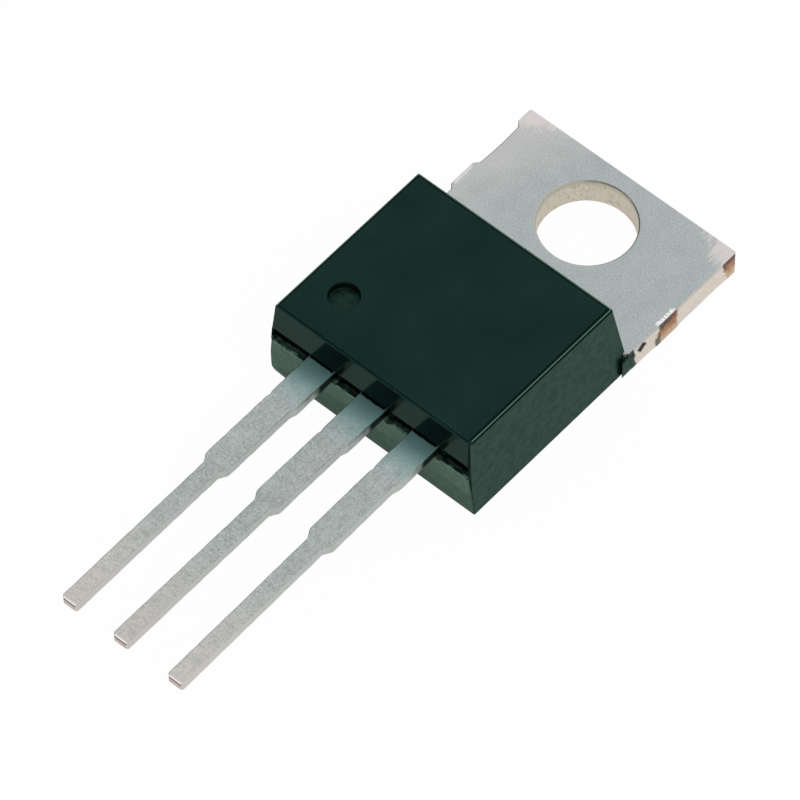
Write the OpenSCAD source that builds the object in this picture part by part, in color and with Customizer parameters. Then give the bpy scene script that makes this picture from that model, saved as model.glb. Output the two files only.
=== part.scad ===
// Three-lead power transistor in a moulded flat package with a screw-down cooling tab.
// Frame: origin on the mounting face at the axis of the tab hole, +Y towards the free end
// of the tab, +Z out of the mounting face. The leads run towards -Y.
// All sizes are in millimetres.

/* [Moulded body] */
// Width of the body at its foot
body_w = 9.9; // [9.5:0.05:12]
// Height of the body above the mounting face
body_h = 4.6; // [4.4:0.05:5.6]
// Length of the body from its front edge to its foot on the tab
body_len = 8.85; // [8.6:0.05:10.8]
// Distance from the hole axis to the foot of the body on the tab
body_foot = 3.57; // [3.4:0.01:4.2]
// Bevel along the edges of the top face
top_bevel = 0.1; // [0.05:0.01:0.2]
// Draft of the two side faces, in degrees
side_draft = 2.2; // [1:0.1:5]
// Draft of the front face above the leads, in degrees
front_draft = 3.3; // [1:0.1:6]
// Draft of the front face below the leads, in degrees
under_draft = 4.8; // [1:0.1:6]
// Draft of the back face, in degrees
back_draft = 11.4; // [5:0.1:14]
// Relief of the front face below the leads, where it meets the flash strip
strip_edge = 0.02; // [0.01:0.01:0.05]
// Height of the sunk line over the leads
line_h = 0.3; // [0.15:0.01:0.4]
// Depth of the sunk line over the leads
line_depth = 0.27; // [0.15:0.01:0.4]
// Set-back of the flash strip between the leads
strip_back = 0.1; // [0.02:0.01:0.12]
// Width of the torn gap in the strip at the right side of each lead
gap_w = 0.28; // [0.1:0.01:0.35]
// Depth of the torn gap
gap_depth = 0.24; // [0.15:0.01:0.25]
// Thickness of the flash lip over each lead
lip_t = 0.05; // [0.02:0.01:0.1]
// Diameter of the ejector pin mark on the top face
mark_d = 1.25; // [0.8:0.05:1.8]
// Depth of the ejector pin mark
mark_depth = 0.3; // [0.1:0.05:0.5]
// Distance of the mark's centre from the foot of the left side face
mark_side = 1.85; // [1.5:0.05:2.5]
// Distance of the mark's centre from the front edge
mark_front = 2.07; // [1.5:0.05:2.5]

/* [Tab] */
// Thickness of the tab and of the header under the die
tab_t = 1.27; // [1.2:0.01:1.6]
// Width of the tab between its shears
tab_w = 10; // [9.6:0.02:12]
// Sideways set of the tab's sides from the hole axis
tab_set = 0.07; // [0:0.01:0.1]
// Distance from the hole axis to the free end of the tab
tab_end = 2.68; // [2.5:0.01:3.4]
// Diameter of the screw hole
hole_d = 3.9; // [3.5:0.05:4.2]
// Stand-out of the sheared tie-bar stubs beyond the wider side of the tab
stub_out = 0.03; // [0.02:0.01:0.2]
// Length of the slants that run up to the stubs
stub_slant = 0.2; // [0.05:0.01:0.3]
// Length of the stub at the free end
end_stub_len = 0.76; // [0.5:0.01:0.9]
// Length of the stub near the body
near_stub_len = 1.28; // [1:0.01:1.5]
// Gap between the foot of the body and the stub near it
near_stub_gap = 1.6; // [1.3:0.01:1.9]
// Chamfer on the free corners of the tab
corner = 0.06; // [0.05:0.01:0.3]
// Length of the slanted neck inside the body
neck_len = 0.6; // [0.5:0.01:0.8]
// Radius of the lock notches, which the moulding fills
notch_r = 0.4; // [0.3:0.01:0.5]
// Bite of the lock notches into the sides of the tab
notch_bite = 0.16; // [0.1:0.01:0.25]
// Height of the lock notches, which leave the top face whole
notch_h = 1; // [0.6:0.01:1.1]
// Length of the scar that the cutting tool left on the right side
scar_len = 0.34; // [0.2:0.01:0.5]
// Height of the scar
scar_h = 0.22; // [0.1:0.01:0.3]
// Depth of the scar
scar_depth = 0.06; // [0.02:0.01:0.1]
// Distance from the foot of the body to the middle of the scar
scar_out = 0.78; // [0.7:0.01:0.9]
// Height of the middle of the scar, as a share of the tab's thickness
scar_share = 0.68; // [0.6:0.01:0.7]
// Lean of the scar, in degrees
scar_lean = 35; // [0:1:45]

/* [Header inside the body] */
// Width of the header inside the body
header_w = 8.3; // [7.8:0.05:8.8]
// Width of the header's bare face on the underside
bare_w = 7.5; // [7:0.05:7.8]
// Height of the step along the header's sides that locks the moulding
step_h = 0.45; // [0.3:0.01:0.6]
// Cover of moulding between the header and the front edge
front_cover = 2.7; // [2.5:0.05:3]
// Width of the seal groove across the header
seal_w = 0.5; // [0.3:0.05:0.6]
// Depth of the seal groove
seal_depth = 0.22; // [0.1:0.01:0.3]
// Distance from the foot of the body to the seal groove
seal_in = 1.3; // [1.1:0.05:1.5]

/* [Leads] */
// Distance between neighbouring leads
pitch = 2.54; // [2.5:0.01:3.1]
// Thickness of the leads
lead_t = 0.5; // [0.4:0.01:0.6]
// Height of the lead underside above the mounting face
lead_z = 2.4; // [2.3:0.01:2.5]
// Length of the leads outside the body
lead_len = 13.83; // [12.5:0.01:16.5]
// Width of the wide part of a lead
lead_w = 1.12; // [0.9:0.01:1.3]
// Extra width that the dam-bar cut leaves on one side near the body
dam_step = 0.1; // [0.04:0.01:0.15]
// Distance from the body to the dam-bar cut
dam_out = 2; // [1.7:0.01:2.4]
// Length of the slanted part of the dam-bar cut
dam_slant = 0.3; // [0.1:0.01:0.4]
// Depth of the small nick that the cut leaves on the other side
dam_nick = 0.04; // [0.02:0.01:0.08]
// Distance from the body to the shoulder
shoulder_out = 5.7; // [3.5:0.01:6.5]
// Length of the slanted shoulder
shoulder_len = 0.34; // [0.2:0.01:0.5]
// Width of the pin beyond the shoulder
pin_w = 0.7; // [0.55:0.01:0.8]
// Chamfer on the corners and the top edge of the lead tip
tip_cut = 0.08; // [0.03:0.01:0.15]
// Sideways set of the three lead tips, from the left lead to the right one
tip_set = [0.07, 0.03, 0.16]; // [0:0.01:0.2]

/* [Lead ends inside the body] */
// Width of a bonding post
post_w = 2.2; // [1.8:0.05:2.3]
// Length of a bonding post
post_len = 1.6; // [1.4:0.05:1.8]
// Distance from the front edge to a bonding post
post_in = 0.8; // [0.7:0.05:0.9]
// Depth of the lock nicks between post and lead
nick = 0.15; // [0.1:0.01:0.2]
// Length of the slope that takes the centre lead down to the header
slope_len = 1.3; // [1.2:0.05:1.4]

/* [Die and bond wires] */
// Width of the die
die_w = 3.2; // [2.6:0.05:3.6]
// Length of the die
die_len = 2.9; // [2.4:0.05:3.2]
// Thickness of the die
die_t = 0.28; // [0.2:0.01:0.35]
// Thickness of the solder under the die
solder_t = 0.06; // [0.03:0.01:0.1]
// Margin of solder around the die
solder_edge = 0.2; // [0.1:0.01:0.3]
// Diameter of the emitter bond wires
emitter_wire_d = 0.3; // [0.2:0.01:0.32]
// Diameter of the base bond wire
base_wire_d = 0.25; // [0.18:0.01:0.28]
// Rise of a bond wire above the line between its feet
wire_rise = 0.75; // [0.6:0.05:0.9]
// Distance between the feet of the two emitter wires
wire_gap = 0.85; // [0.75:0.01:1]
// Distance from the die's left side to the foot of the base wire
base_pad_in = 0.55; // [0.5:0.01:0.7]
// Distance from the middle of the die to the foot of the first emitter wire
emitter_pad_out = 0.55; // [0.4:0.01:0.6]

/* [Hidden] */

$fn = 64;
over = 1;                                   // cutters run this far past what they cut
seal_over = 0.1;                            // the seal groove's cutter stands this far out of it
under_lip = 0.05;                           // the flash lips run this far into the body
foot_share = 0.8;                           // a wire's flattened foot, as a share of its diameter

// Heights
lead_top = lead_z + lead_t;
scar_z = scar_share * tab_t;
line_top = lead_top + line_h;
solder_top = tab_t + solder_t;
die_top = solder_top + die_t;

// Places along Y
foot_y = -body_foot;
front_y = foot_y - body_len;
front_top_y = front_y + (body_h - line_top) * tan(front_draft);
under_y = front_y + lead_z * tan(under_draft);
back_top_y = foot_y - (body_h - tab_t) * tan(back_draft);
header_y = front_y + front_cover;
tip_y = front_y - lead_len;
post_y = front_y + post_in;
die_y = (header_y + foot_y - seal_in) / 2;
near_stub_y = foot_y + near_stub_gap;
end_stub_y = tab_end - end_stub_len;
dam_y = front_y - dam_out;
shoulder_y = front_y - shoulder_out;
pin_y = shoulder_y - shoulder_len;
scar_y = foot_y + scar_out;

// Half widths
top_half = body_w / 2 - body_h * tan(side_draft);
stub_half = tab_w / 2 + tab_set + stub_out;
function wall_half(side) = tab_w / 2 + side * tab_set;

// Feet of the bond wires, as [x, y, height of the surface that they stand on]
function post_foot(x) = [x, post_y + post_len / 2, lead_top];
base_pad = [base_pad_in - die_w / 2, die_y - die_len / 4, die_top];
function emitter_pad(k) = [emitter_pad_out + k * wire_gap, die_y + k * die_len / 8, die_top];

function mirrored(points) = [for (i = [len(points) - 1:-1:0]) [-points[i].x, points[i].y]];
function left_right(points) = concat(points, mirrored(points));

// A prism whose outline is drawn in the YZ plane, centred across X
module side_prism(width, outline)
    rotate([90, 0, 90])
        linear_extrude(height = width, center = true)
            polygon(outline);

// A prism whose outline is drawn in the XZ plane and which runs from y0 to y1
module cross_prism(y0, y1, outline)
    translate([0, y1, 0])
        rotate([90, 0, 0])
            linear_extrude(height = y1 - y0)
                polygon(outline);

// The moulding's outer form: side outline and cross-section, both drafted, and their common part
module body_form() {
    intersection() {
        side_prism(body_w + 2 * over, [
            [under_y, 0],
            [front_y + strip_edge, lead_z],
            [front_y + strip_back, lead_z],
            [front_y + strip_back, lead_top],
            [front_y + line_depth, lead_top],
            [front_y + line_depth, line_top],
            [front_y, line_top],
            [front_top_y - top_bevel * tan(front_draft), body_h - top_bevel],
            [front_top_y + top_bevel, body_h],
            [back_top_y - top_bevel, body_h],
            [back_top_y + top_bevel * tan(back_draft), body_h - top_bevel],
            [foot_y, tab_t],
            [foot_y, 0]
        ]);
        cross_prism(front_y - over, foot_y + over, left_right([
            [body_w / 2, 0],
            [top_half + top_bevel * tan(side_draft), body_h - top_bevel],
            [top_half - top_bevel, body_h]
        ]));
    }
    for (side = [-1, 1])
        notch_fill(side);
    for (k = [-1:1])
        translate([k * pitch - lead_w / 2, front_y + line_depth - gap_depth, lead_top])
            cube([lead_w + dam_step, gap_depth + under_lip, lip_t]);
}

// Torn gap in the strip beside a lead, wider towards the sunk line
module torn_gap(x)
    cross_prism(front_y - over, front_y + gap_depth, [
        [x, lead_z],
        [x + gap_w / 2, lead_z],
        [x + gap_w, line_top - line_h / 2],
        [x, line_top - line_h / 2]
    ]);

// Round notch in the side of the tab, at the foot of the body
module notch(side, low, high)
    translate([side * (wall_half(side) + notch_r - notch_bite), foot_y, low])
        cylinder(r = notch_r, h = high - low);

// Moulding that fills the notch flush with the tab
module notch_fill(side)
    intersection() {
        notch(side, 0, notch_h);
        translate([side * (wall_half(side) - notch_r), foot_y, notch_h / 2])
            cube([2 * notch_r, 2 * notch_r, notch_h], center = true);
    }

// One side of the header's outline as [x, y] points, from the free end to the front
function header_side(wall) = [
    [stub_half - corner, tab_end],
    [stub_half, tab_end - corner],
    [stub_half, end_stub_y],
    [wall, end_stub_y - stub_slant],
    [wall, near_stub_y + near_stub_len + stub_slant],
    [stub_half, near_stub_y + near_stub_len],
    [stub_half, near_stub_y],
    [wall, near_stub_y - stub_slant],
    [wall, foot_y],
    [header_w / 2, foot_y - neck_len],
    [header_w / 2, header_y]
];

// Tab and header plate with the screw hole, the notches, the scar, the side steps and the seal groove
module header_plate()
    difference() {
        linear_extrude(height = tab_t)
            polygon(concat(header_side(wall_half(1)), mirrored(header_side(wall_half(-1)))));
        translate([0, 0, -over])
            cylinder(d = hole_d, h = tab_t + 2 * over);
        for (side = [-1, 1]) {
            notch(side, -over, notch_h);
            translate([side * (bare_w / 2 + body_w / 2), header_y, 0])
                cube([body_w, 2 * (foot_y - neck_len - header_y), 2 * step_h], center = true);
        }
        translate([wall_half(1), scar_y, scar_z])
            rotate([scar_lean, 0, 0])
                cube([2 * scar_depth, scar_len, scar_h], center = true);
        side_prism(body_w, [
            [foot_y - seal_in - seal_w / 2, tab_t + seal_over],
            [foot_y - seal_in, tab_t - seal_depth],
            [foot_y - seal_in + seal_w / 2, tab_t + seal_over]
        ]);
    }

// Sideways set of lead k at a place along Y, which grows from the body to the tip
function set_at(k, y) = tip_set[k + 1] * max(front_y - y, 0) / lead_len;

// Flat outline of lead k (-1, 0 or 1) with the dam-bar cut, the shoulder and the tip
module lead_outline(k, inner_y) {
    points = [
        [-lead_w / 2, inner_y],
        [-lead_w / 2, dam_y],
        [-lead_w / 2 + dam_nick, dam_y - dam_slant / 2],
        [-lead_w / 2, dam_y - dam_slant],
        [-lead_w / 2, shoulder_y],
        [-pin_w / 2, pin_y],
        [-pin_w / 2, tip_y + tip_cut],
        [-pin_w / 2 + tip_cut, tip_y],
        [pin_w / 2 - tip_cut, tip_y],
        [pin_w / 2, tip_y + tip_cut],
        [pin_w / 2, pin_y],
        [lead_w / 2, shoulder_y],
        [lead_w / 2, dam_y - dam_slant],
        [lead_w / 2 + dam_step, dam_y],
        [lead_w / 2 + dam_step, inner_y]
    ];
    polygon([for (p = points) [k * pitch + p.x + set_at(k, p.y), p.y]]);
}

// Cutter for the bevel along the top edge of the lead tips
module tip_bevel()
    side_prism(body_w, [
        [tip_y - over, lead_top - tip_cut - over],
        [tip_y + tip_cut + over, lead_top + over],
        [tip_y - over, lead_top + over]
    ]);

// An outer lead with its bonding post, held by two nicks inside the moulding
module outer_lead(k)
    difference() {
        translate([0, 0, lead_z])
            linear_extrude(height = lead_t)
                difference() {
                    union() {
                        lead_outline(k, post_y + post_len / 2);
                        translate([k * pitch, post_y + post_len / 2])
                            square([post_w, post_len], center = true);
                    }
                    for (side = [-1, 1])
                        translate([k * pitch + side * (lead_w / 2 + dam_step), post_y - nick])
                            circle(r = nick);
                }
        tip_bevel();
    }

// The centre lead: level outside the body, then down a slope to the header
module centre_lead() {
    rise = lead_top - tab_t;
    lean = atan2(rise, slope_len);
    bend = lead_t * tan(lean / 2);
    low_y = header_y + bend;
    high_y = header_y + bend - slope_len;
    difference() {
        intersection() {
            side_prism(post_w, [
                [tip_y - over, lead_z],
                [tip_y - over, lead_top],
                [high_y, lead_top],
                [low_y, tab_t],
                [low_y + lead_t, tab_t],
                [low_y + lead_t, tab_t - lead_t],
                [low_y - bend, tab_t - lead_t],
                [high_y - bend, lead_z]
            ]);
            linear_extrude(height = body_h)
                lead_outline(0, low_y + lead_t);
        }
        tip_bevel();
    }
}

// A block of the die stack, centred on the die's place
module stack_block(width, length, low, height)
    translate([0, die_y, low + height / 2])
        cube([width, length, height], center = true);

// A bond wire from one foot to the other: an arc through both, with a flattened foot at each end
module bond_wire(from, to, d) {
    foot_t = foot_share * d;
    run = [to.x - from.x, to.y - from.y];
    span = norm(run);
    drop = to.z - from.z;
    chord = norm([span, drop]);
    half = asin(4 * chord * wire_rise / (chord * chord + 4 * wire_rise * wire_rise));
    radius = chord / 2 / sin(half);
    translate((from + to) / 2 + [0, 0, d / 2])
        rotate([0, 0, atan2(run.y, run.x)])
            rotate([90, 0, 0])
                rotate([0, 0, atan2(drop, span)])
                    translate([0, wire_rise - radius, 0])
                        rotate_extrude(angle = 2 * half, start = 90 - half)
                            translate([radius, 0])
                                circle(d = d);
    for (end = [from, to])
        translate(end + [0, 0, foot_t / 2])
            rotate([0, 0, atan2(run.y, run.x)])
                cube([3 * d, 1.5 * d, foot_t], center = true);
}

module moulded_body()
    color([0.12, 0.18, 0.17])
        difference() {
            body_form();
            translate([-body_w / 2 + mark_side, front_y + mark_front, body_h - mark_depth])
                cylinder(d = mark_d, h = mark_depth + over);
            for (k = [-1:1])
                torn_gap(k * pitch + lead_w / 2 + dam_step);
            collector_header();
            base_lead();
            emitter_lead();
            transistor_die();
            die_solder();
            base_wire();
            emitter_wire_1();
            emitter_wire_2();
        }

module collector_header()
    color([0.68, 0.71, 0.71])
        union() {
            header_plate();
            centre_lead();
        }

module base_lead()
    color([0.7, 0.71, 0.7])
        outer_lead(-1);

module emitter_lead()
    color([0.7, 0.71, 0.7])
        outer_lead(1);

module transistor_die()
    color([0.35, 0.36, 0.42])
        stack_block(die_w, die_len, solder_top, die_t);

module die_solder()
    color([0.6, 0.6, 0.62])
        stack_block(die_w + 2 * solder_edge, die_len + 2 * solder_edge, tab_t, solder_t);

module base_wire()
    color([0.8, 0.8, 0.82])
        bond_wire(base_pad, post_foot(-pitch), base_wire_d);

module emitter_wire_1()
    color([0.8, 0.8, 0.82])
        bond_wire(emitter_pad(0), post_foot(pitch - wire_gap / 2), emitter_wire_d);

module emitter_wire_2()
    color([0.8, 0.8, 0.82])
        bond_wire(emitter_pad(1), post_foot(pitch + wire_gap / 2), emitter_wire_d);

moulded_body();
collector_header();
base_lead();
emitter_lead();
transistor_die();
die_solder();
base_wire();
emitter_wire_1();
emitter_wire_2();
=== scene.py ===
"""Looks of a three-lead power package: its moulding, plated tab and leads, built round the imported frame.

The pieces stand in the frame's own axes: origin on the tab hole's axis at the mounting face, +Y to
the free end of the tab, +Z up, leads towards -Y. Shapes are worked out in millimetres and kept in
metres.
"""

import math
from types import SimpleNamespace

import bmesh
import bpy
import numpy as np
from bpy.props import FloatProperty, FloatVectorProperty, PointerProperty
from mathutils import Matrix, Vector


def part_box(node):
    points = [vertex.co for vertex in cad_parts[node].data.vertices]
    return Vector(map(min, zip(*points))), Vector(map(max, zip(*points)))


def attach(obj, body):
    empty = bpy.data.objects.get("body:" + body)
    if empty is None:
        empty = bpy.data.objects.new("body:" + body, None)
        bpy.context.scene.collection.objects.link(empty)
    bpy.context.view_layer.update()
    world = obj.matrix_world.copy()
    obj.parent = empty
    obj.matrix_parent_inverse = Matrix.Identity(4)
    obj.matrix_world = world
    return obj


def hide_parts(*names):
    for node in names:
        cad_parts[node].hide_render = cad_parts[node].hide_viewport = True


bl_info = {
    "name": "Three-lead power package",
    "version": (1, 0, 0),
    "blender": (4, 5, 0),
    "location": "View3D > Sidebar > Power package",
    "description": "Moulding, plated tab and leads of a power transistor, with its studio stage",
    "category": "Add Mesh",
}

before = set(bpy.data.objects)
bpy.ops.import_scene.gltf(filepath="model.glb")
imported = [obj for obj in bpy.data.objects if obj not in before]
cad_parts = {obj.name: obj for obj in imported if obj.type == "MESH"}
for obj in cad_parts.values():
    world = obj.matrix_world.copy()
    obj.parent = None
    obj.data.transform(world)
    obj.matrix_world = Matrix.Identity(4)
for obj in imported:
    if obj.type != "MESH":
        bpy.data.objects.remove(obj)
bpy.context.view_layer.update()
MM = 0.001
NO_LENGTH = 1e-6 * MM                       # edges shorter than this are taken out of a mesh
SHARP = math.radians(38.0)                  # faces that meet at more than this keep a hard edge
WHITE = (1.0, 1.0, 1.0, 1.0)
SWELL_SIDE, SWELL_FRONT = 0.92, 0.4         # the swollen corner's way outwards, sideways and forwards


def corners(node):
    """Lowest and highest corner of a CAD node, in millimetres."""
    low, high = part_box(node)
    return np.array(low) / MM, np.array(high) / MM


CASE_LOW, CASE_HIGH = corners("moulded_body")
FRAME_LOW, FRAME_HIGH = corners("collector_header")
LEAD_LOW, LEAD_HIGH = corners("emitter_lead")
HEADER_TOP = corners("die_solder")[0][2]

# Places that several pieces share, in millimetres
CASE_FRONT, CASE_TOP, CASE_HALF = CASE_LOW[1], CASE_HIGH[2], -CASE_LOW[0]
LEAD_BASE, LEAD_TOP, LEAD_TIP = LEAD_LOW[2], LEAD_HIGH[2], FRAME_LOW[1]
TAB_END, STUB_SIDE, LEAD_ROOT = FRAME_HIGH[1], FRAME_HIGH[0], LEAD_HIGH[1]


# ---------------------------------------------------------------- settings


def length(label, text, millimetres):
    """A length property, stated here in millimetres and kept in metres."""
    return FloatProperty(
        name=label, description=text, default=millimetres * MM, min=0.0,
        precision=6, subtype="DISTANCE", unit="LENGTH",
    )


def angle(label, text, degrees):
    """An angle property, stated here in degrees and kept in radians."""
    return FloatProperty(
        name=label, description=text, default=math.radians(degrees), subtype="ANGLE", unit="ROTATION",
    )


def amount(label, text, value, top=10.0):
    """A plain number, such as a strength or a share."""
    return FloatProperty(name=label, description=text, default=value, min=0.0, soft_max=top)


def linear(value):
    """The linear value of an sRGB channel from 0 to 255."""
    share = value / 255.0
    return share / 12.92 if share <= 0.04045 else ((share + 0.055) / 1.055) ** 2.4


def colour(label, text, red, green, blue):
    """A colour property, stated here as sRGB from 0 to 255 and kept linear."""
    return FloatVectorProperty(
        name=label, description=text, size=3, min=0.0, max=1.0, subtype="COLOR",
        default=(linear(red), linear(green), linear(blue)),
    )


class CaseSizes(bpy.types.PropertyGroup):
    """Sizes of the moulded case."""

    side_draft: angle("Side draft", "Lean of the two side faces", 2.2)
    front_draft: angle("Front draft", "Lean of the front face over the leads", 3.3)
    under_draft: angle("Under draft", "Lean of the front face under the leads", 4.8)
    back_draft: angle("Back draft", "Lean of the back face over the tab", 11.4)
    bevel: length("Top bevel", "Bevel along the edges of the top face", 0.1)
    edge: length("Edge reach", "Reach of the small rounds on the moulding's edges", 0.025)
    corner: length("Corner radius", "Radius of the upright corners", 0.07)
    line_h: length("Line height", "Height of the sunk line over the leads", 0.3)
    line_depth: length("Line depth", "Depth of the sunk line over the leads", 0.27)
    strip_back: length("Strip set-back", "Set-back of the flash strip between the leads", 0.1)
    torn: length("Torn height", "Height that the strip's top edge is torn away", 0.22)
    gap_w: length("Gap width", "Width of the torn gap beside each lead", 0.28)
    gap_depth: length("Gap depth", "Depth of the torn gap beside each lead", 0.24)
    lip: length("Lip", "Thickness of the flash lip over each lead", 0.05)
    swell: length("Swell", "Stand-out of the swollen foot of the left front corner", 0.15)
    lift: length("Lift", "Height that the low left front corner is rounded off", 0.1)
    seam: length("Seam", "Depth of the fine seams along the top bevel", 0.035)
    ragged: length("Ragged flash", "Height of the ragged edge under the strip", 0.09)
    mark_d: length("Mark diameter", "Diameter of the ejector pin mark", 1.25)
    mark_depth: length("Mark depth", "Depth of the ejector pin mark", 0.3)
    mark_side: length("Mark from side", "Distance of the mark from the foot of the left side", 1.85)
    mark_front: length("Mark from front", "Distance of the mark from the front edge", 2.07)


class TabSizes(bpy.types.PropertyGroup):
    """Sizes of the tab and of the header plate under the die."""

    thick: length("Thickness", "Thickness of the tab", HEADER_TOP)
    width: length("Width", "Width of the tab between its stubs", 10.0)
    set_over: length("Sideways set", "Set of the tab's sides to the right of the hole axis", 0.07)
    hole_d: length("Hole diameter", "Diameter of the screw hole", 3.9)
    foot: length("Foot", "Distance from the hole axis to the foot of the moulding", 3.57)
    slant: length("Stub slant", "Length of the slants that run up to the stubs", 0.2)
    end_len: length("End stub", "Length of the sheared stub at the free end", 0.76)
    near_len: length("Near stub", "Length of the sheared stub near the moulding", 1.28)
    near_gap: length("Near stub gap", "Gap between the moulding and the stub near it", 1.6)
    scoop: length("Scoop", "Hollow of the left edge between its two stubs", 0.04)
    neck: length("Neck", "Length of the slanted neck inside the moulding", 0.6)
    notch_r: length("Notch radius", "Radius of the lock notches", 0.4)
    notch_bite: length("Notch bite", "Bite of the lock notches", 0.16)
    notch_h: length("Notch height", "Height of the lock notches", 1.0)
    scar_len: length("Scar length", "Length of the tool scar on the right side", 0.34)
    scar_h: length("Scar height", "Height of the tool scar", 0.22)
    scar_depth: length("Scar depth", "Depth of the tool scar", 0.06)
    scar_out: length("Scar distance", "Distance from the moulding to the middle of the scar", 0.78)
    scar_share: amount("Scar share", "Height of the scar's middle as a share of the thickness", 0.68, 1.0)
    scar_lean: angle("Scar lean", "Lean of the tool scar", 35.0)
    header_w: length("Header width", "Width of the header inside the moulding", 8.3)
    bare_w: length("Bare width", "Width of the header's bare underside", 7.5)
    step_h: length("Step height", "Height of the step that locks the moulding", 0.45)
    cover: length("Front cover", "Moulding between the header and the front edge", 2.7)
    roll: length("Edge roll", "Reach of the rolled-over punched edges", 0.07)
    corner: length("Corner", "Chamfer on the free corners", 0.06)


class LeadSizes(bpy.types.PropertyGroup):
    """Sizes of the leads."""

    pitch: length("Pitch", "Distance between neighbouring leads", 2.54)
    width: length("Width", "Width of the wide part", 1.12)
    dam_step: length("Dam step", "Extra width that the dam-bar cut leaves on one side", 0.1)
    dam_out: length("Dam distance", "Distance from the moulding to the dam-bar cut", 2.0)
    dam_slant: length("Dam slant", "Length of the slanted part of the dam-bar cut", 0.3)
    shoulder_out: length("Shoulder distance", "Distance from the moulding to the shoulder", 5.7)
    shoulder_len: length("Shoulder length", "Length of the slanted shoulder", 0.34)
    pin_w: length("Pin width", "Width beyond the shoulder", 0.7)
    nick: length("Nick", "Depth of the nick opposite the dam-bar cut", 0.04)
    tip: length("Tip bevel", "Bevel round the tip", 0.08)
    left_set: length("Left set", "Sideways set of the left lead's tip", 0.07)
    middle_set: length("Middle set", "Sideways set of the middle lead's tip", 0.03)
    right_set: length("Right set", "Sideways set of the right lead's tip", 0.16)
    edge: length("Edge round", "Round on the long edges", 0.035)
    waver: length("Waver", "Unevenness of the long sides", 0.008)
    post_w: length("Post width", "Width of the bonding post in the moulding", 2.2)
    post_in: length("Post distance", "Distance from the front edge to the bonding post", 0.8)
    joggle_out: length("Joggle start", "Distance from the header to the joggle's upper bend", 1.18)
    joggle_in: length("Joggle end", "Distance from the header's front to the lower bend on it", 0.12)
    lap: length("Lap", "Length that the centre lead runs into the header", 0.6)


class Finishes(bpy.types.PropertyGroup):
    """Colours of the finishes."""

    case: colour("Moulding", "Colour of the moulding compound", 2, 20, 18)
    case_fine: colour("Moulding grain", "Colour of the filler that shows as fine grain", 34, 47, 40)
    # Painted highlight: the lighter middle of the bevel at the sides
    case_bevel_highlight: colour("Rubbed moulding", "Colour of the bevel at the sides", 92, 116, 108)
    # Painted light: the pads under the flash strip, painted lighter olive
    case_pad_light: colour("Moulding pads", "Colour of the front face under the flash strip", 80, 82, 72)
    # Painted highlight along the torn rim over the pads
    case_rim_highlight: colour("Torn rim", "Colour of the torn rim over the pads", 118, 134, 118)
    # Painted shade: the front face from the leads up, painted near black
    case_front_shade: colour("Polished front", "Colour of the smooth front over the leads", 0, 1.6, 1.6)
    # Painted shade: the dark matt diffuse in the grooves, the sunk line, the torn strip, the mark's wall and
    # on the upright faces
    case_painted_shade: colour("Dust", "Dull dark film in the grooves and on the torn strip", 6.6, 15.6, 12.9)
    tin: colour("Tab plating", "Colour of the matt tin on the tab", 190, 196, 196)
    tin_dull: colour("Dull plating", "Darker mottle in the tin", 163, 171, 171)
    tin_bright: colour("Burnished plating", "Tin rubbed bright at the corners", 222, 213, 213)
    # Painted light: the punched walls painted brighter and warmer than the tab's top
    lit_tin_edge: colour("Plated edge", "Tin on the punched edges", 232, 222, 214)
    # Painted highlight: the glint of the burr along the stubs, near white
    burr_highlight: colour("Ridges", "Bright burr along the free corners of the tab", 252.7, 250.5, 250.5)
    # Olive mottle in the walls' painted light
    lit_tin_edge_dull: colour("Dull edge", "Darker, olive mottle of the punched edges", 214, 204, 188)
    # Painted shade on the rolled edges that face left
    left_edge_shade_colour: colour("Left edges", "Thin plating on the edges rolled to the left", 88, 84, 84)
    # Painted light: the hole's wall painted ivory, brighter and warmer than the tab's top
    bore: colour("Bore", "Ivory tin on the wall of the screw hole", 206, 198, 178)
    bore_speck: colour("Bore specks", "Dull specks on the wall of the screw hole", 142, 139.4, 117.6)
    bore_top: colour("Top of the bore", "Shaded tin along the top of the screw hole", 173.4, 173.4, 161.7)
    copper: colour("Copper", "Bare copper of the cut stubs", 176, 120, 82)
    copper_pale: colour("Pale copper", "Copper smeared with tin, low on the cuts", 205, 182, 152)
    copper_dark: colour("Dark copper", "Tarnished copper along the top of the cuts", 84, 56, 42)
    stain: colour("Stain", "Smear of moulding compound on the tab's side", 84, 84, 62)
    foot_smear: colour("Foot smear", "Compound drawn over the tab's side at the foot", 17.9, 28.6, 25.5)
    scar: colour("Scar", "Dark floor of the tool scar", 28.6, 31.4, 25.5)
    lead: colour("Lead plating", "Colour of the tin on the leads", 190, 198, 197)
    lead_dull: colour("Dull lead", "Darker mottle in the leads' tin", 145, 154, 151)
    # Painted reflection: the leads' tin tinted teal close to the moulding
    lead_root_reflection: colour("Lead root", "Tin of the leads close to the moulding", 114, 170, 166)
    lead_warm: colour("Warm plating", "Warmer tin towards the tips", 214, 208, 202)
    lead_side: colour("Lead side", "Tin on the sides of the leads", 194, 198, 194)
    lead_side_dull: colour("Dull lead side", "Olive mottle on the sides of the leads", 180, 184, 176)
    lead_shaded: colour("Shaded lead side", "Sides of the leads close to the moulding", 12.9, 20, 17.9)
    # Painted highlight on the tip bevel, near white, duller at its end
    lead_tip_highlight: colour("Tip bevel", "Bright bevel over the cut face", 249.3, 245.8, 244.6)
    lead_tip_highlight_end: colour("Bevel end", "Duller end of the tip bevel", 203.4, 200.4, 198.8)
    lead_end: colour("Lead end", "Cut face at the tips", 204, 188, 180)
    # Darker along the top of the cut face
    lead_end_dark: colour("Dark lead end", "Burnt line along the top of the cut face", 92, 78, 72)


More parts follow.
